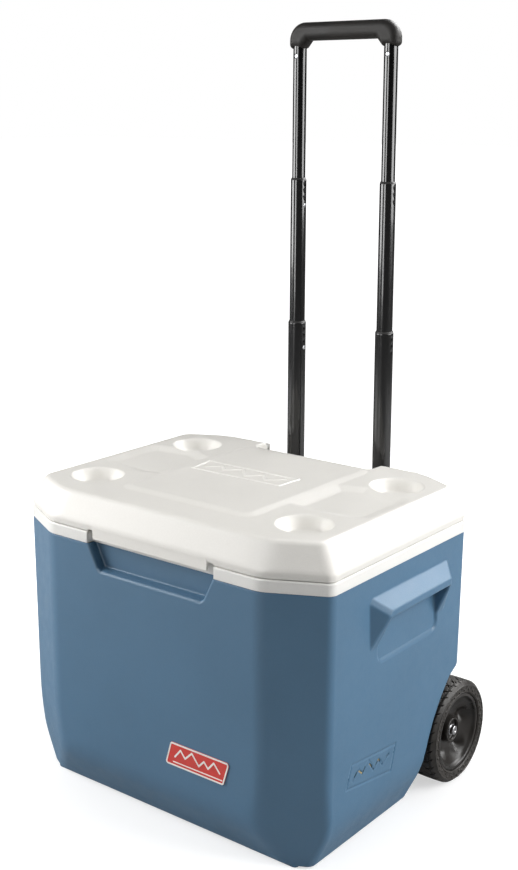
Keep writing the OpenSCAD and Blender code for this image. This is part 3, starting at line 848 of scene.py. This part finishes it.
# ------------------------------------------------------------------ liner and rim
def rrect(x0, x1, y0, y1, r, nc=10, ns=14):
    """Rounded rectangle with the same point count whatever its size."""
    pts = []
    cs = [(x1 - r, y0 + r, -90), (x1 - r, y1 - r, 0), (x0 + r, y1 - r, 90), (x0 + r, y0 + r, 180)]
    for k, (cx, cy, a0) in enumerate(cs):
        a = np.radians(a0 + 90.0 * np.arange(nc + 1) / nc)
        c = np.stack([cx + r * np.cos(a), cy + r * np.sin(a)], 1)
        pts.append(c)
        nx, ny, na = cs[(k + 1) % 4]
        q = np.array([nx + r * math.cos(math.radians(na)), ny + r * math.sin(math.radians(na))])
        t = np.arange(1, ns)[:, None] / ns
        pts.append(c[-1] + (q - c[-1]) * t)
    return np.concatenate(pts)


def loft_rings(rings, ends=True):
    n = len(rings[0])
    p = np.concatenate(rings)
    i = np.arange(n)
    j = (i + 1) % n
    quads = np.concatenate([np.stack([k * n + i, k * n + j, (k + 1) * n + j, (k + 1) * n + i], 1) for k in range(len(rings) - 1)])
    c0, c1 = len(p), len(p) + 1
    p = np.concatenate([p, rings[0].mean(0)[None], rings[-1].mean(0)[None]])
    e = (len(rings) - 1) * n
    tris = np.concatenate([np.stack([np.full(n, c0), j, i], 1), np.stack([np.full(n, c1), e + i, e + j], 1)])
    if signed_volume(p, tris, quads) < 0:
        quads, tris = quads[:, ::-1], tris[:, ::-1]
    return p, tris, quads


def rim_band_field(x, y, z):
    ax, ay = np.abs(x), np.abs(y)
    o = rmax(rmax(ax - 270.0, ax * CHX + ay * CHY - CHD, 15.0, CHX), ay - 209.4, 46.0, CHY)
    f = rmax(rmax(o, z - 401.9, 2.6, 0.0), 385.02 - z, 0.8, 0.0)
    mouth = rbox2(x, y, 214.4, 169.4, 19.5)
    skirt = np.maximum(np.maximum(mouth - 2.5, z - 398.0), 376.0 - z)
    hol = np.maximum(np.maximum(o + 3.8, -(mouth - 2.6)), z - 398.4)
    hol = np.maximum(hol, -(np.maximum(ax - 119.0, y + 194.8)))
    f = np.maximum(f, -hol)
    f = np.minimum(f, skirt)
    f = rmax(f, -mouth, 2.8, 0.0)
    cut = rmax(ax - 113.0, y + 198.0, 2.0, 0.0)
    return rmax(f, -cut, 1.2, 0.0)


def build_liner():
    rim = sdf_mesh("rim_band", rim_band_field, (-270, -209.5, 376), (270, 209.5, 402), 1.15, 60000)
    rings = []

    def ring(z, off):
        t = (z - 42.0) / (401.9 - 42.0)
        q = rrect(-206 - 11 * t - off, 206 + 11 * t + off, -160 - 12 * t - off, 148 + 24 * t + off, 22 + off)
        rings.append(np.column_stack([q, np.full(len(q), z)]))
    ring(42, -18)
    ring(43.2, -9)
    ring(46.5, -3.2)
    for z in (52, 80, 140, 210, 280, 340, 372, 384):
        ring(z, 0.0)
    ring(390, -0.3)
    ring(390, -2.3)
    for z in (384, 380, 340, 280, 210, 140, 90, 66):
        ring(z, -2.6)
    for a in (15, 30, 45, 60, 75, 90):
        ring(44.6 + 20.0 * (1 - math.sin(math.radians(a))), -2.6 - 19.0 * (1 - math.cos(math.radians(a))))
    ring(44.6, -21.9)
    ob = raw_mesh("liner_tub", *loft_rings(rings))
    sharp_by_angle(ob, 40)
    put(ob, "cooler_body", LINER)
    return put(rim, "cooler_body", LINER, ["inner_liner"])


def box_arrays(x0, x1, y0, y1, z0, z1):
    p = np.array([[x, y, z] for x in (x0, x1) for y in (y0, y1) for z in (z0, z1)], float)
    q = np.array([[0, 1, 3, 2], [4, 6, 7, 5], [0, 4, 5, 1], [2, 3, 7, 6], [0, 2, 6, 4], [1, 5, 7, 3]])
    return p, np.zeros((0, 3), np.int64), q


# ------------------------------------------------------------------ wheels
AXY, AXZ = 166.5, 76.2


def tyre_field(x, y, z):
    dy, dz = y - AXY, z - AXZ
    r = hyp(dy, dz)
    th = np.arctan2(dz, dy)
    s = x - 249.0
    u = np.abs(s)
    tread = r - 76.2 + 0.0012 * u * u
    shoulder = (r - 71.3) * 0.70 + (u - 22.6) * 0.714
    wall_s = u - 22.9 + np.clip(66.0 - r, 0, 12) * 0.05
    f = rmax(rmax(tread, shoulder, 2.0, 0.7), wall_s, 2.6, 0.7)
    f = rmax(f, 57.7 - r, 0.8, 0.0)
    # curved grooves from the middle of the tread over its shoulder
    n = 34
    per = 2 * math.pi / n
    side = np.where(s > 0, 0.0, 0.5)
    ph = (th + 0.0065 * (u - 12.0) + 0.00035 * (u - 12.0) ** 2) / per + side
    w = np.abs(ph - np.floor(ph) - 0.5) * per * r
    gro = rmax(np.maximum(w - 0.95, 6.0 - u), (76.2 - 2.6) - r - 0.0, 0.6, 0.0)
    gro = np.maximum(gro, 69.8 - r)
    ph1 = (th * 1.0 - 0.012 * u) / per + side + 0.5
    w1 = np.abs(ph1 - np.floor(ph1) - 0.5) * per * r
    gr2 = np.maximum(np.maximum(w1 - 0.8, u - 13.0), np.maximum(3.0 - u, 74.2 - r))
    ring_g = np.maximum(np.abs(u - 14.5) - 0.7, 74.4 - r)
    f = smax(f, -gro, 0.7)
    f = smax(f, -gr2, 0.7)
    f = smax(f, -ring_g, 0.7)
    # sidewall: raised ring under the shoulder, small moulded marks, bead line
    ring = np.maximum(np.abs(r - 69.6) - 0.9, u - 24.0)
    f = smin(f, np.maximum(ring, 10 - u), 0.8)
    m = 56
    pm = 2 * math.pi / m
    p3 = th / pm
    w3 = np.abs(p3 - np.floor(p3) - 0.5) * pm * r
    odd = np.floor(p3) % 2
    rc = np.where(odd > 0.5, 66.4, 63.2)
    mark = rmax(np.maximum(w3 - 1.7, np.abs(r - rc) - 1.6), u - 23.85, 0.5, 0.0)
    f = smin(f, np.maximum(mark, 12 - u), 0.6)
    bead = np.maximum(np.abs(r - 59.9) - 0.7, u - 23.5)
    return smin(f, np.maximum(bead, 10 - u), 0.8)


def rim_field(x, y, z):
    dy, dz = y - AXY, z - AXZ
    r = hyp(dy, dz)
    th = np.arctan2(dz, dy)
    barrel = rmax(rng2(r, 52.0, 57.5), rng2(x, 228.5, 270.4), 2.4, 0.0)
    n = 5
    per = 2 * math.pi / n
    ph = (th + 0.35) / per
    w = np.abs(ph - np.floor(ph) - 0.5) * per * r
    # dished web with a scoop between each pair of spokes
    q = np.clip((r - 20.0) / 33.0, 0.0, 1.0)
    mid = 247.5 + 17.5 * q ** 1.7
    mid = mid - 7.5 * np.exp(-((r - 38.5) / 8.0) ** 2) * np.exp(-(w / 9.5) ** 2)
    web = np.maximum((np.abs(x - mid) - 2.2) * 0.72, r - 55.0)
    f = smin(barrel, web, 3.5)
    boss = rmax(r - 18.5, rng2(x, 222.5, 259.5), 1.8, 0.0)
    f = smin(f, boss, 3.0)
    cup = rmax(r - 14.6, 255.4 - x, 1.6, 0.0)
    f = rmax(f, -cup, 1.2, 0.0)
    # stepped ring round the hub
    hub = rmax(np.abs(r - 16.6) - 1.3, x - 261.0, 1.0, 0.0)
    f = smin(f, np.maximum(hub, 250 - x), 1.0)
    return np.maximum(f, -(r - 8.02))


def cap_field(x, y, z):
    r = hyp(y - AXY, z - AXZ)
    dome = np.sqrt((x - 250.4) ** 2 + r * r) - 15.3
    skirt = rmax(r - 8.8, rng2(x, 255.7, 259.2), 0.9, 0.0)
    f = smin(rmax(dome, r - 6.8, 1.0, 0.3), skirt, 0.8)
    f = np.maximum(f, 255.7 - x)
    # pressed dimple in the middle
    f = smax(f, -(np.sqrt((x - 267.2) ** 2 + r * r) - 3.6), 0.8)
    return f


def build_wheels():
    t = sdf_mesh("tyre_right_v", tyre_field, (224.5, AXY - 76.3, 0), (273, AXY + 76.3, 152.4), 0.95, 95000)
    r = sdf_mesh("rim_right_v", rim_field, (222, AXY - 58, AXZ - 58), (271, AXY + 58, AXZ + 58), 0.9, 70000)
    tl = mirror_copy(t, "tyre_left_v")
    rl = mirror_copy(r, "rim_left_v")
    put(t, "wheel_right", TYRE, ["tyre_right"])
    put(tl, "wheel_left", TYRE, ["tyre_left"])
    put(r, "wheel_right", RIM, ["wheel_rim_right"])
    put(rl, "wheel_left", RIM, ["wheel_rim_left"])
    c = sdf_mesh("axle_caps_v", cap_field, (255, AXY - 12, AXZ - 12), (266, AXY + 12, AXZ + 12), 0.45, 14000)
    cl = mirror_copy(c, "axle_cap_l")
    c = join([c, cl], "axle_caps_v")
    put(c, "cooler_body", CAPSTEEL, ["axle_caps"])


# ------------------------------------------------------------------ tow handle
TX, TY = 81.7, 235.7
GZ = 1064.3


def grip_field(x, y, z):
    ax = np.abs(x)
    out = rbox2(x, z - 1060.0, 97.0, 43.6, 27.0)
    out = rmax(out, GZ - z, 7.0, 0.0)
    inner = poly2(ax, z, [(-10, 1000), (71.5, 1000), (70.6, GZ), (60.6, 1076.2), (-10, 1076.2)], 0.0)
    d2 = rmax(out, -inner, 3.0, 0.0)
    dy = np.abs(y - TY) - 13.0
    f = rmax(d2, dy, 11.5, 0.0)
    # sockets of the tubes
    r = hyp(ax - TX, y - TY)
    return np.maximum(f, -np.maximum(r - 10.33, z - 1080.3))


def tube_piece(name, r, wall, z0, z1, sx, dimples=(), hole=None, seg=96):
    """Drawn tube with a rolled mouth, swaged dimples and a hole for its snap button."""
    zs = [z0 + 0.4]
    top = z1 - 0.8
    if dimples:
        dz0, dz1 = min(dimples) - 7, max(dimples) + 6
        zs += list(np.linspace(z0 + 20, dz0, 6)) + list(np.arange(dz0 + 0.8, min(dz1, top - 0.3), 0.8)) + [top]
    else:
        zs += list(np.linspace(z0 + 20, top, 8))
    outer = [(r, z) for z in zs]
    lip = [(r - 0.25, z1 - 0.25), (r - 0.6, z1)]
    ri = r - wall
    inner = [(ri, z1 - 0.3), (ri, z0 + 0.2)]
    foot = [(ri + 0.2, z0), (r - 0.3, z0)]
    prof = outer + lip + inner + foot
    pr = np.array(prof, float)
    th = np.arange(seg) * (2 * math.pi / seg)
    n = len(pr)
    rr = np.repeat(pr[:, 0][:, None], seg, 1)
    if dimples:
        for zc in dimples:
            for a0 in (0.0, math.pi):
                da = np.abs(np.angle(np.exp(1j * (th - a0)))) * r
                g = np.exp(-((da[None, :] / 2.6) ** 2 + ((pr[:, 1][:, None] - zc) / 2.4) ** 2))
                rr[: len(outer)] -= 0.75 * g[: len(outer)]
    ring = np.stack([rr * np.cos(th), rr * np.sin(th), np.repeat(pr[:, 1][:, None], seg, 1)], 2)
    p = ring.reshape(-1, 3) + np.array([sx * TX, TY, 0])
    i = np.arange(seg)
    j = (i + 1) % seg
    quads = np.concatenate([np.stack([k * seg + i, k * seg + j, ((k + 1) % n) * seg + j, ((k + 1) % n) * seg + i], 1) for k in range(n)])
    none = np.zeros((0, 3), np.int64)
    if signed_volume(p - p.mean(0), none, quads) < 0:
        quads = quads[:, ::-1]
    ob = raw_mesh(name, p, none, quads)
    if hole is not None:
        cut = lathe("cutter", [(3.1, sx * (TX - r - 4)), (3.1, sx * (TX - r + 4))] if sx > 0 else [(3.1, sx * (TX - r + 4)), (3.1, sx * (TX - r - 4))], 32, "x", (0, TY, hole), closed=False)
        m = ob.modifiers.new("b", "BOOLEAN")
        m.operation, m.object, m.solver = "DIFFERENCE", cut, "EXACT"
        dg = bpy.context.evaluated_depsgraph_get()
        me = bpy.data.meshes.new_from_object(ob.evaluated_get(dg))
        ob.modifiers.clear()
        ob.data = me
        bpy.data.objects.remove(cut)
    sharp_by_angle(ob, 40)
    return ob


def collar_profile(r, rin, top, wall=1.2, slide=0.08):
    return [(rin + slide, top + 2.8), (rin + slide + 0.2, top + 3.0), (rin + 0.45, top + 3.0), (rin + 0.75, top + 2.75),
            (r - 0.2, top + 0.45), (r, top + 0.2), (r, top + 0.03), (r - wall, top + 0.02),
            (r - wall - 0.02, top - 11.6), (r - wall - 0.5, top - 12.0), (rin + slide + 0.2, top - 12.0), (rin + slide, top - 11.7)]


def build_tow():
    for s, side in ((-1, "left"), (1, "right")):
        z1, z2 = 642.7, 867.1
        for nm, body, r, a, b, hole, dm in (
            ("lower", "tow_stage_lower", 14.0, z1 - 335, z1, z1 - 40, (z1 - 7, z1 - 17, z1 - 28)),
            ("middle", "tow_stage_middle", 12.2, z2 - 300, z2, z2 - 40, (z2 - 7, z2 - 17, z2 - 28)),
            ("upper", "tow_stage_upper", 10.3, 1064.3 - 262, 1064.3 + 18 - 0.0, None, ()),
        ):
            if nm == "upper":
                b = 1080.2
            ob = tube_piece("%s_tube_%s_v" % (nm, side), r, 1.2, a, b, s, dm, hole)
            if nm == "upper":
                cut = lathe("cutter", [(3.8, TY - 16), (3.8, TY - 5)], 40, "y", (s * TX, 0, 1053.7), closed=False)
                carve(ob, cut)
                sharp_by_angle(ob, 40)
            put(ob, body, TUBE, ["%s_tube_%s" % (nm, side)])
        sl = tube_piece("guide_sleeve_%s_v" % side, 15.8, 1.2, 40, 385, s)
        put(sl, "cooler_body", TUBE, ["guide_sleeve_%s" % side])
        for nm, body, r, zz in (("lower", "lower_button_%s" % side, 14.0, z1 - 40), ("middle", "middle_button_%s" % side, 12.2, z2 - 40)):
            x0 = -r + 0.5
            prof = [(3.0, 0.0), (3.0, 0.45), (2.8, 0.66), (2.2, 0.76), (1.2, 0.8), (0.05, 0.8)]
            prof = [(a, (TX + x0 - b)) for a, b in prof] if s > 0 else [(a, -(TX + x0 - b)) for a, b in prof]
            bt = lathe("snap_button_%s_%s_v" % (nm, side), prof, 40, "x", (0, TY, zz), closed=False)
            put(bt, body, STEEL, ["lock_button_%s_%s" % (nm, side)])
    pairs = []
    for nm, body, r, rin, top in (("lower", "tow_stage_lower", 14.0, 12.2, 642.7), ("middle", "tow_stage_middle", 12.2, 10.3, 867.1)):
        cs = [lathe("c%d" % s, collar_profile(r, rin, top), 96, "z", (s * TX, TY, 0)) for s in (-1, 1)]
        put(join(cs, "%s_tube_collars_v" % nm), body, BLACK, ["%s_tube_collars" % nm])
    top = 385.0
    ro = 16.6
    prof = [(14.08, top + 3.6), (14.5, top + 4.0), (ro - 0.8, top + 4.0), (ro, top + 3.2), (ro, top + 0.1), (14.6, top + 0.02), (14.58, top - 13.6), (14.3, top - 14), (14.08, top - 13.8)]
    cs = [lathe("c%d" % s, prof, 96, "z", (s * TX, TY, 0)) for s in (-1, 1)]
    put(join(cs, "sleeve_top_bushes_v"), "cooler_body", BLACK, ["sleeve_top_bushes"])
    prof = [(14.0, 36.0), (15.4, 36.4), (15.8, 37.0), (15.8, 39.9), (14.58, 39.95), (14.58, 45.4), (14.0, 45.9)]
    cs = [lathe("c%d" % s, prof, 64, "z", (s * TX, TY, 0), closed=False) for s in (-1, 1)]
    put(join(cs, "sleeve_end_plugs_v"), "cooler_body", BLACK, ["sleeve_end_plugs"])
    g = sdf_mesh("tow_grip_v", grip_field, (-97, TY - 13, GZ), (97, TY + 13, 1103.8), 0.8, 70000)
    put(g, "tow_stage_upper", GRIP, ["tow_grip"])
    # domed rivets on the front of the upper tubes, under the grip
    rv = []
    for s in (-1, 1):
        prof = [(0.05, -9.12), (0.9, -9.16), (1.3, -9.75), (2.0, -9.98), (2.8, -9.75), (3.5, -9.3), (3.5, -9.1), (2.0, -9.05)]
        rv.append(lathe("r%d" % s, prof, 40, "y", (s * TX, TY, 1053.7), closed=False))
    put(join(rv, "grip_rivets_v"), "tow_stage_upper", STEEL, ["grip_rivets"])


def bracket_field_for(z0, z1, y0):
    zm, hz = (z0 + z1) / 2, (z1 - z0) / 2

    def f(x, y, z):
        ax = np.abs(x)
        zz = np.abs(z - zm) - hz
        r = hyp(ax - TX, y - TY)
        plate = rmax(rbox2(x, y - (y0 + 217) / 2, 106, (217 - y0) / 2, 1.6), zz, 2.2, 0.0)
        ring = rmax(r - 18.3, zz, 1.2, 0.0)
        neck = rmax(rbox2(ax - TX, y - (y0 + TY) / 2, 18.3, (TY - y0) / 2, 1.0), zz, 1.2, 0.0)
        g = smin(smin(plate, ring, 1.5), neck, 1.5)
        for zc in (z0 + 2, z1 - 2):
            rib = rmax(rmax(ax - TX, y - 232.0, 2.0, 0.0), np.abs(z - zc) - 2.0, 0.8, 0.0)
            g = smin(g, np.maximum(rib, y0 - y), 1.6)
        for xc in (0.0, 44.0):
            rib = rmax(np.abs(ax - xc) - 1.5, y - 229.0, 1.0, 0.0)
            g = smin(g, np.maximum(np.maximum(rib, y0 - y), np.abs(z - zm) - hz + 0.5), 1.6)
        g = np.maximum(g, -(r - 15.83))
        for xc in (30.0, 58.0):
            zc = 364.0 if z0 > 200 else 62.0
            q = hyp(ax - xc, z - zc)
            g = np.maximum(g, -(q - 2.2))
            g = smin(g, np.maximum(rmax(q - 6.4, y - 217.0, 0.6, 0.0), y0 - y), 0.8) if False else g
        return np.maximum(g, y0 - y)
    return f


def screw_field(hr, hh, sr, sl):
    """Pan head screw along +Y with its head's underside at 0."""
    def f(x, y, z):
        r = hyp(x, z)
        rad = (hr * hr + hh * hh) / (2 * hh)
        dome = np.sqrt(r * r + (y - (hh - rad)) ** 2) - rad
        head = rmax(np.maximum(dome, r - hr), -y, 0.3, 0.0)
        shank = np.maximum(r - sr, np.abs(y + sl / 2) - sl / 2)
        g = np.minimum(head, shank)
        slot = np.minimum(rbox2(x, z, hr * 0.62, 0.42, 0.1), rbox2(x, z, 0.42, hr * 0.62, 0.1))
        return np.maximum(g, -np.maximum(slot, hh * 0.42 - y))
    return f


def build_brackets():
    for nm, z0, z1, y0 in (("handle_upper_bracket", 345, 383, 209.45), ("handle_lower_bracket", 44, 80, 207.0)):
        ob = sdf_mesh(nm + "_v", bracket_field_for(z0, z1, y0), (-106, y0, z0), (106, 254, z1), 1.0, 50000)
        put(ob, "cooler_body", BLACK, [nm])
    sc = sdf_mesh("screw", screw_field(4.0, 2.4, 1.9, 20.0), (-4, -20, -4), (4, 2.4, 4), 0.33, 5000)
    obs = []
    for s in (-1, 1):
        for xc in (30, 58):
            for zc in (364, 62):
                obs.append(copy_at(sc, (s * xc, 217.05, zc), "s", rot=Matrix.Rotation(0.4 * xc + zc, 4, "Y")))
    fix_origin = obs
    put(join(fix_origin, "handle_bracket_screws_v"), "cooler_body", STEEL, ["handle_bracket_screws"])
    obs = []
    for s in (-1, 1):
        for xc in (126, 154):
            for zc in (350, 370):
                obs.append(copy_at(sc, (s * xc, 214.9, zc), "s", rot=Matrix.Rotation(0.7 * xc + zc, 4, "Y") @ Matrix.Scale(0.9, 4)))
    put(join(obs, "hinge_bracket_screws_v"), "cooler_body", STEEL, ["hinge_bracket_screws"])
    bpy.data.objects.remove(sc)


# ------------------------------------------------------------------ hinges
HY, HZ = 204.5, 438.5


def hinge_field(x, y, z):
    ax = np.abs(x)
    plate = rmax(rbox2(ax - 140.0, z - 380.5, 22.0, 40.5, 3.0), rng2(y, 211.4, 214.8), 0.8, 0.0)
    pad = rmax(rbox2(ax - 140.0, z - 362.0, 22.0, 22.0, 3.0), rng2(y, 209.45, 212.0), 0.5, 0.0)
    f = smin(plate, pad, 0.5)
    for xc in (122.5, 157.5):
        arm = rmax(rbox2(y - 208.9, z - 430.0, 5.9, 11.5, 1.5), np.abs(ax - xc) - 4.5, 0.8, 0.0)
        arm = np.maximum(arm, -(np.maximum(y - 211.4, z - 434.4))) if False else arm
        up = rmax(rbox2(y - 213.1, z - 428.0, 1.7, 13.4, 0.6), np.abs(ax - xc) - 4.5, 0.8, 0.0)
        kn = rmax(hyp(y - HY, z - HZ) - 5.4, np.abs(ax - xc) - 4.5, 0.8, 0.0)
        br = rmax(rbox2(y - 209.0, z - 438.0, 4.5, 3.4, 0.6), np.abs(ax - xc) - 4.5, 0.8, 0.0)
        f = smin(f, smin(smin(up, br, 1.2), kn, 1.2), 1.0)
    f = np.maximum(f, -(hyp(y - HY, z - HZ) - 2.52))
    for xc in (126.0, 154.0):
        for zc in (350.0, 370.0):
            f = np.maximum(f, -(hyp(ax - xc, z - zc) - 2.2))
    return f


def build_hinges():
    a = sdf_mesh("hinge_brackets_v", hinge_field, (117.5, 198.5, 339.5), (162.5, 215.2, 444.5), 0.7, 34000)
    b = mirror_copy(a, "hb")
    put(join([a, b], "hinge_brackets_v"), "cooler_body", WHITE, ["hinge_brackets"])
    ps = []
    for s in (-1, 1):
        prof = [(2.5, 163.4), (2.2, 163.8), (0.4, 163.9)]
        prof = [(0.4, 114.8), (3.0, 115.0), (3.9, 115.7), (4.0, 117.2), (2.5, 117.5), (2.5, 163.3), (2.1, 163.5), (0.4, 163.5)]
        prof = [(r, s * x) for r, x in prof]
        ps.append(lathe("p%d" % s, prof, 40, "x", (0, HY, HZ), closed=False))
    put(join(ps, "hinge_pins_v"), "cooler_body", PIN, ["hinge_pins"])


# ------------------------------------------------------------------ badge and drain
BADGE = [(26.4, 102), (128.3, 102), (138.5, 136), (36.2, 136)]


def badge_field(x, y, z):
    d = poly2(x, z, BADGE, 4.0)
    return rmax(d, rng2(y, -207.3, -204.95), 0.7, 0.0)


def build_badge():
    a = sdf_mesh("badge_plate", badge_field, (26, -208, 101.5), (139, -204.9, 136.5), 0.55, 16000)
    put(a, "cooler_body", RED, ["front_badge"])

    def trim(x, y, z):
        d = poly2(x, z, BADGE, 4.0)
        border = np.abs(d + 1.3) - 1.15
        line = seg2(x, z, (41.0, 108.2), (126.0, 108.2)) - 0.8
        ridge = strokes(x, z, [[(44, 116), (54, 128), (62, 118.5), (74, 130), (86, 115.5), (95, 125), (102, 117), (112, 128.5), (122, 117)]]) - 1.25
        g = np.minimum(np.minimum(border, line), ridge)
        return rmax(g, rng2(y, -207.58, -206.9), 0.25, 0.0)
    b = sdf_mesh("badge_trim", trim, (26, -207.7, 101.5), (139, -206.7, 136.5), 0.32, 40000)
    put(b, "cooler_body", BADGEWHITE)


def cap_drain(x, y, z):
    r = hyp(y + 60.0, z - 62.0)
    th = np.arctan2(z - 62.0, y + 60.0)
    n = 12
    per = 2 * math.pi / n
    ph = th / per
    w = np.abs(ph - np.floor(ph) - 0.5) * per * r
    body = rmax(r - 15.0, rng2(x, -276.0, -265.4), 1.6, 0.0)
    rib = rmax(np.maximum(w - 1.2, r - 15.8), rng2(x, -275.2, -267.0), 0.8, 0.0)
    f = smin(body, rib, 0.8)
    f = np.maximum(f, -rmax(r - 12.0, -272.5 - x, 1.0, 0.0))
    plug = rmax(r - 6.93, rng2(x, -273.5, -258.0), 0.8, 0.0)
    return smin(f, plug, 0.6)


def spout_field(x, y, z):
    r = hyp(y + 60.0, z - 62.0)
    f = smin(rmax(r - 10.0, rng2(x, -268.0, -196.0), 0.5, 0.0), rmax(r - 17.0, rng2(x, -265.0, -264.0), 0.4, 0.0), 0.8)
    return np.maximum(f, -(r - 7.0))


def build_drain():
    a = sdf_mesh("drain_cap_v", cap_drain, (-276, -76, 46), (-258, -44, 78), 0.5, 24000)
    put(a, "drain_cap_body", WHITE, ["drain_cap"])
    b = sdf_mesh("drain_spout_v", spout_field, (-268, -77, 45), (-196, -43, 79), 0.6, 16000)
    put(b, "cooler_body", WHITE, ["drain_spout"])


# ------------------------------------------------------------------ carried-over CAD nodes
def dress():
    look = {}
    for row in frame["record"]["subparts"]:
        look[row["node"]] = row.get("material_slot")
    by_slot = {"blue_plastic": BLUE, "white_plastic": WHITE, "foam": FOAM, "badge_red": RED, "black_rubber": RUBBER,
               "zinc_steel": STEEL, "black_plastic": BLACK, "black_tube": TUBE, "wheel_plastic": RIM, "tyre_plastic": TYRE}
    for n, o in frame["nodes"].items():
        s = look.get(n)
        m = by_slot.get(s, BLACK)
        if not o.material_slots:
            o.data.materials.append(m)
        for ms in o.material_slots:
            ms.material = m


# ------------------------------------------------------------------ stage
def stage():
    me = bpy.data.meshes.new("floor")
    k = 30.0
    me.from_pydata([(-k, -k, 0), (k, -k, 0), (k, k, 0), (-k, k, 0)], [], [(0, 1, 2, 3)])
    fl = bpy.data.objects.new("floor", me)
    SC.collection.objects.link(fl)
    m = Mat("pale_floor", (0.50, 0.50, 0.50), 0.75, spec=0.15)
    m.color(m.tint(m.noise(3.0, 2), (0.49, 0.49, 0.49), (0.51, 0.51, 0.51)))
    far = m.n("ShaderNodeVectorMath", operation="LENGTH")
    m.l(m.tc.outputs["Object"], far.inputs[0])
    m.b.inputs["Emission Color"].default_value = (1, 1, 1, 1)
    glow = m.n("ShaderNodeMath", operation="MULTIPLY")
    seen = m.n("ShaderNodeLightPath")
    m.l(m.ramp(far.outputs["Value"], 0.25, 1.0, 0.58, 1.1), glow.inputs[0])
    m.l(seen.outputs["Is Camera Ray"], glow.inputs[1])
    m.l(glow.outputs[0], m.b.inputs["Emission Strength"])
    me.materials.append(m.m)

    def area(name, az, el, dist, w, h, power, target=(0, 0, 0.45), col=(1, 1, 1)):
        li = bpy.data.lights.new(name, "AREA")
        li.shape = "RECTANGLE"
        li.size, li.size_y = w, h
        li.energy = power
        li.color = col
        o = bpy.data.objects.new(name, li)
        a, e = math.radians(az), math.radians(el)
        d = Vector((math.sin(a) * math.cos(e), -math.cos(a) * math.cos(e), math.sin(e)))
        o.location = Vector(target) + d * dist
        o.rotation_mode = "QUATERNION"
        o.rotation_quaternion = d.to_track_quat("Z", "Y")
        SC.collection.objects.link(o)
        return o
    area("soft_left", -58, 18, 2.6, 1.5, 1.8, 76)
    area("soft_right", 112, 22, 2.6, 1.9, 1.8, 78)
    sf = area("strip_front", -8, 20, 2.7, 0.85, 2.4, 52)
    sf.visible_diffuse = False
    sb = area("soft_back", 168, 40, 2.8, 2.1, 1.6, 120)
    sb.visible_diffuse = False
    sun = bpy.data.lights.new("top_soft", "SUN")
    sun.energy = 0.98
    sun.angle = math.radians(95)
    so = bpy.data.objects.new("top_soft", sun)
    so.rotation_euler = (math.radians(14), 0, math.radians(4))
    SC.collection.objects.link(so)
    w = bpy.data.worlds.new("studio")
    SC.world = w
    w.use_nodes = True
    t = w.node_tree
    t.nodes.clear()
    out = t.nodes.new("ShaderNodeOutputWorld")
    bg = t.nodes.new("ShaderNodeBackground")
    bg.inputs[0].default_value = (0.93, 0.95, 1.0, 1)
    bg.inputs[1].default_value = 0.03
    bg2 = t.nodes.new("ShaderNodeBackground")
    bg2.inputs[0].default_value = (1, 1, 1, 1)
    bg2.inputs[1].default_value = 1.0
    mx = t.nodes.new("ShaderNodeMixShader")
    lp = t.nodes.new("ShaderNodeLightPath")
    t.links.new(lp.outputs["Is Camera Ray"], mx.inputs[0])
    t.links.new(bg.outputs[0], mx.inputs[1])
    t.links.new(bg2.outputs[0], mx.inputs[2])
    t.links.new(mx.outputs[0], out.inputs[0])
    SC.view_settings.view_transform = "Standard"


dress()
stage()
log("stage")
build_shell()
build_lid()
build_lid_foam()
build_pan()
build_liner()
log("liner")
build_wheels()
build_tow()
log("tow")
build_brackets()
build_hinges()
build_badge()
build_drain()
log("all pieces")

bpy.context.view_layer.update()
log("done")
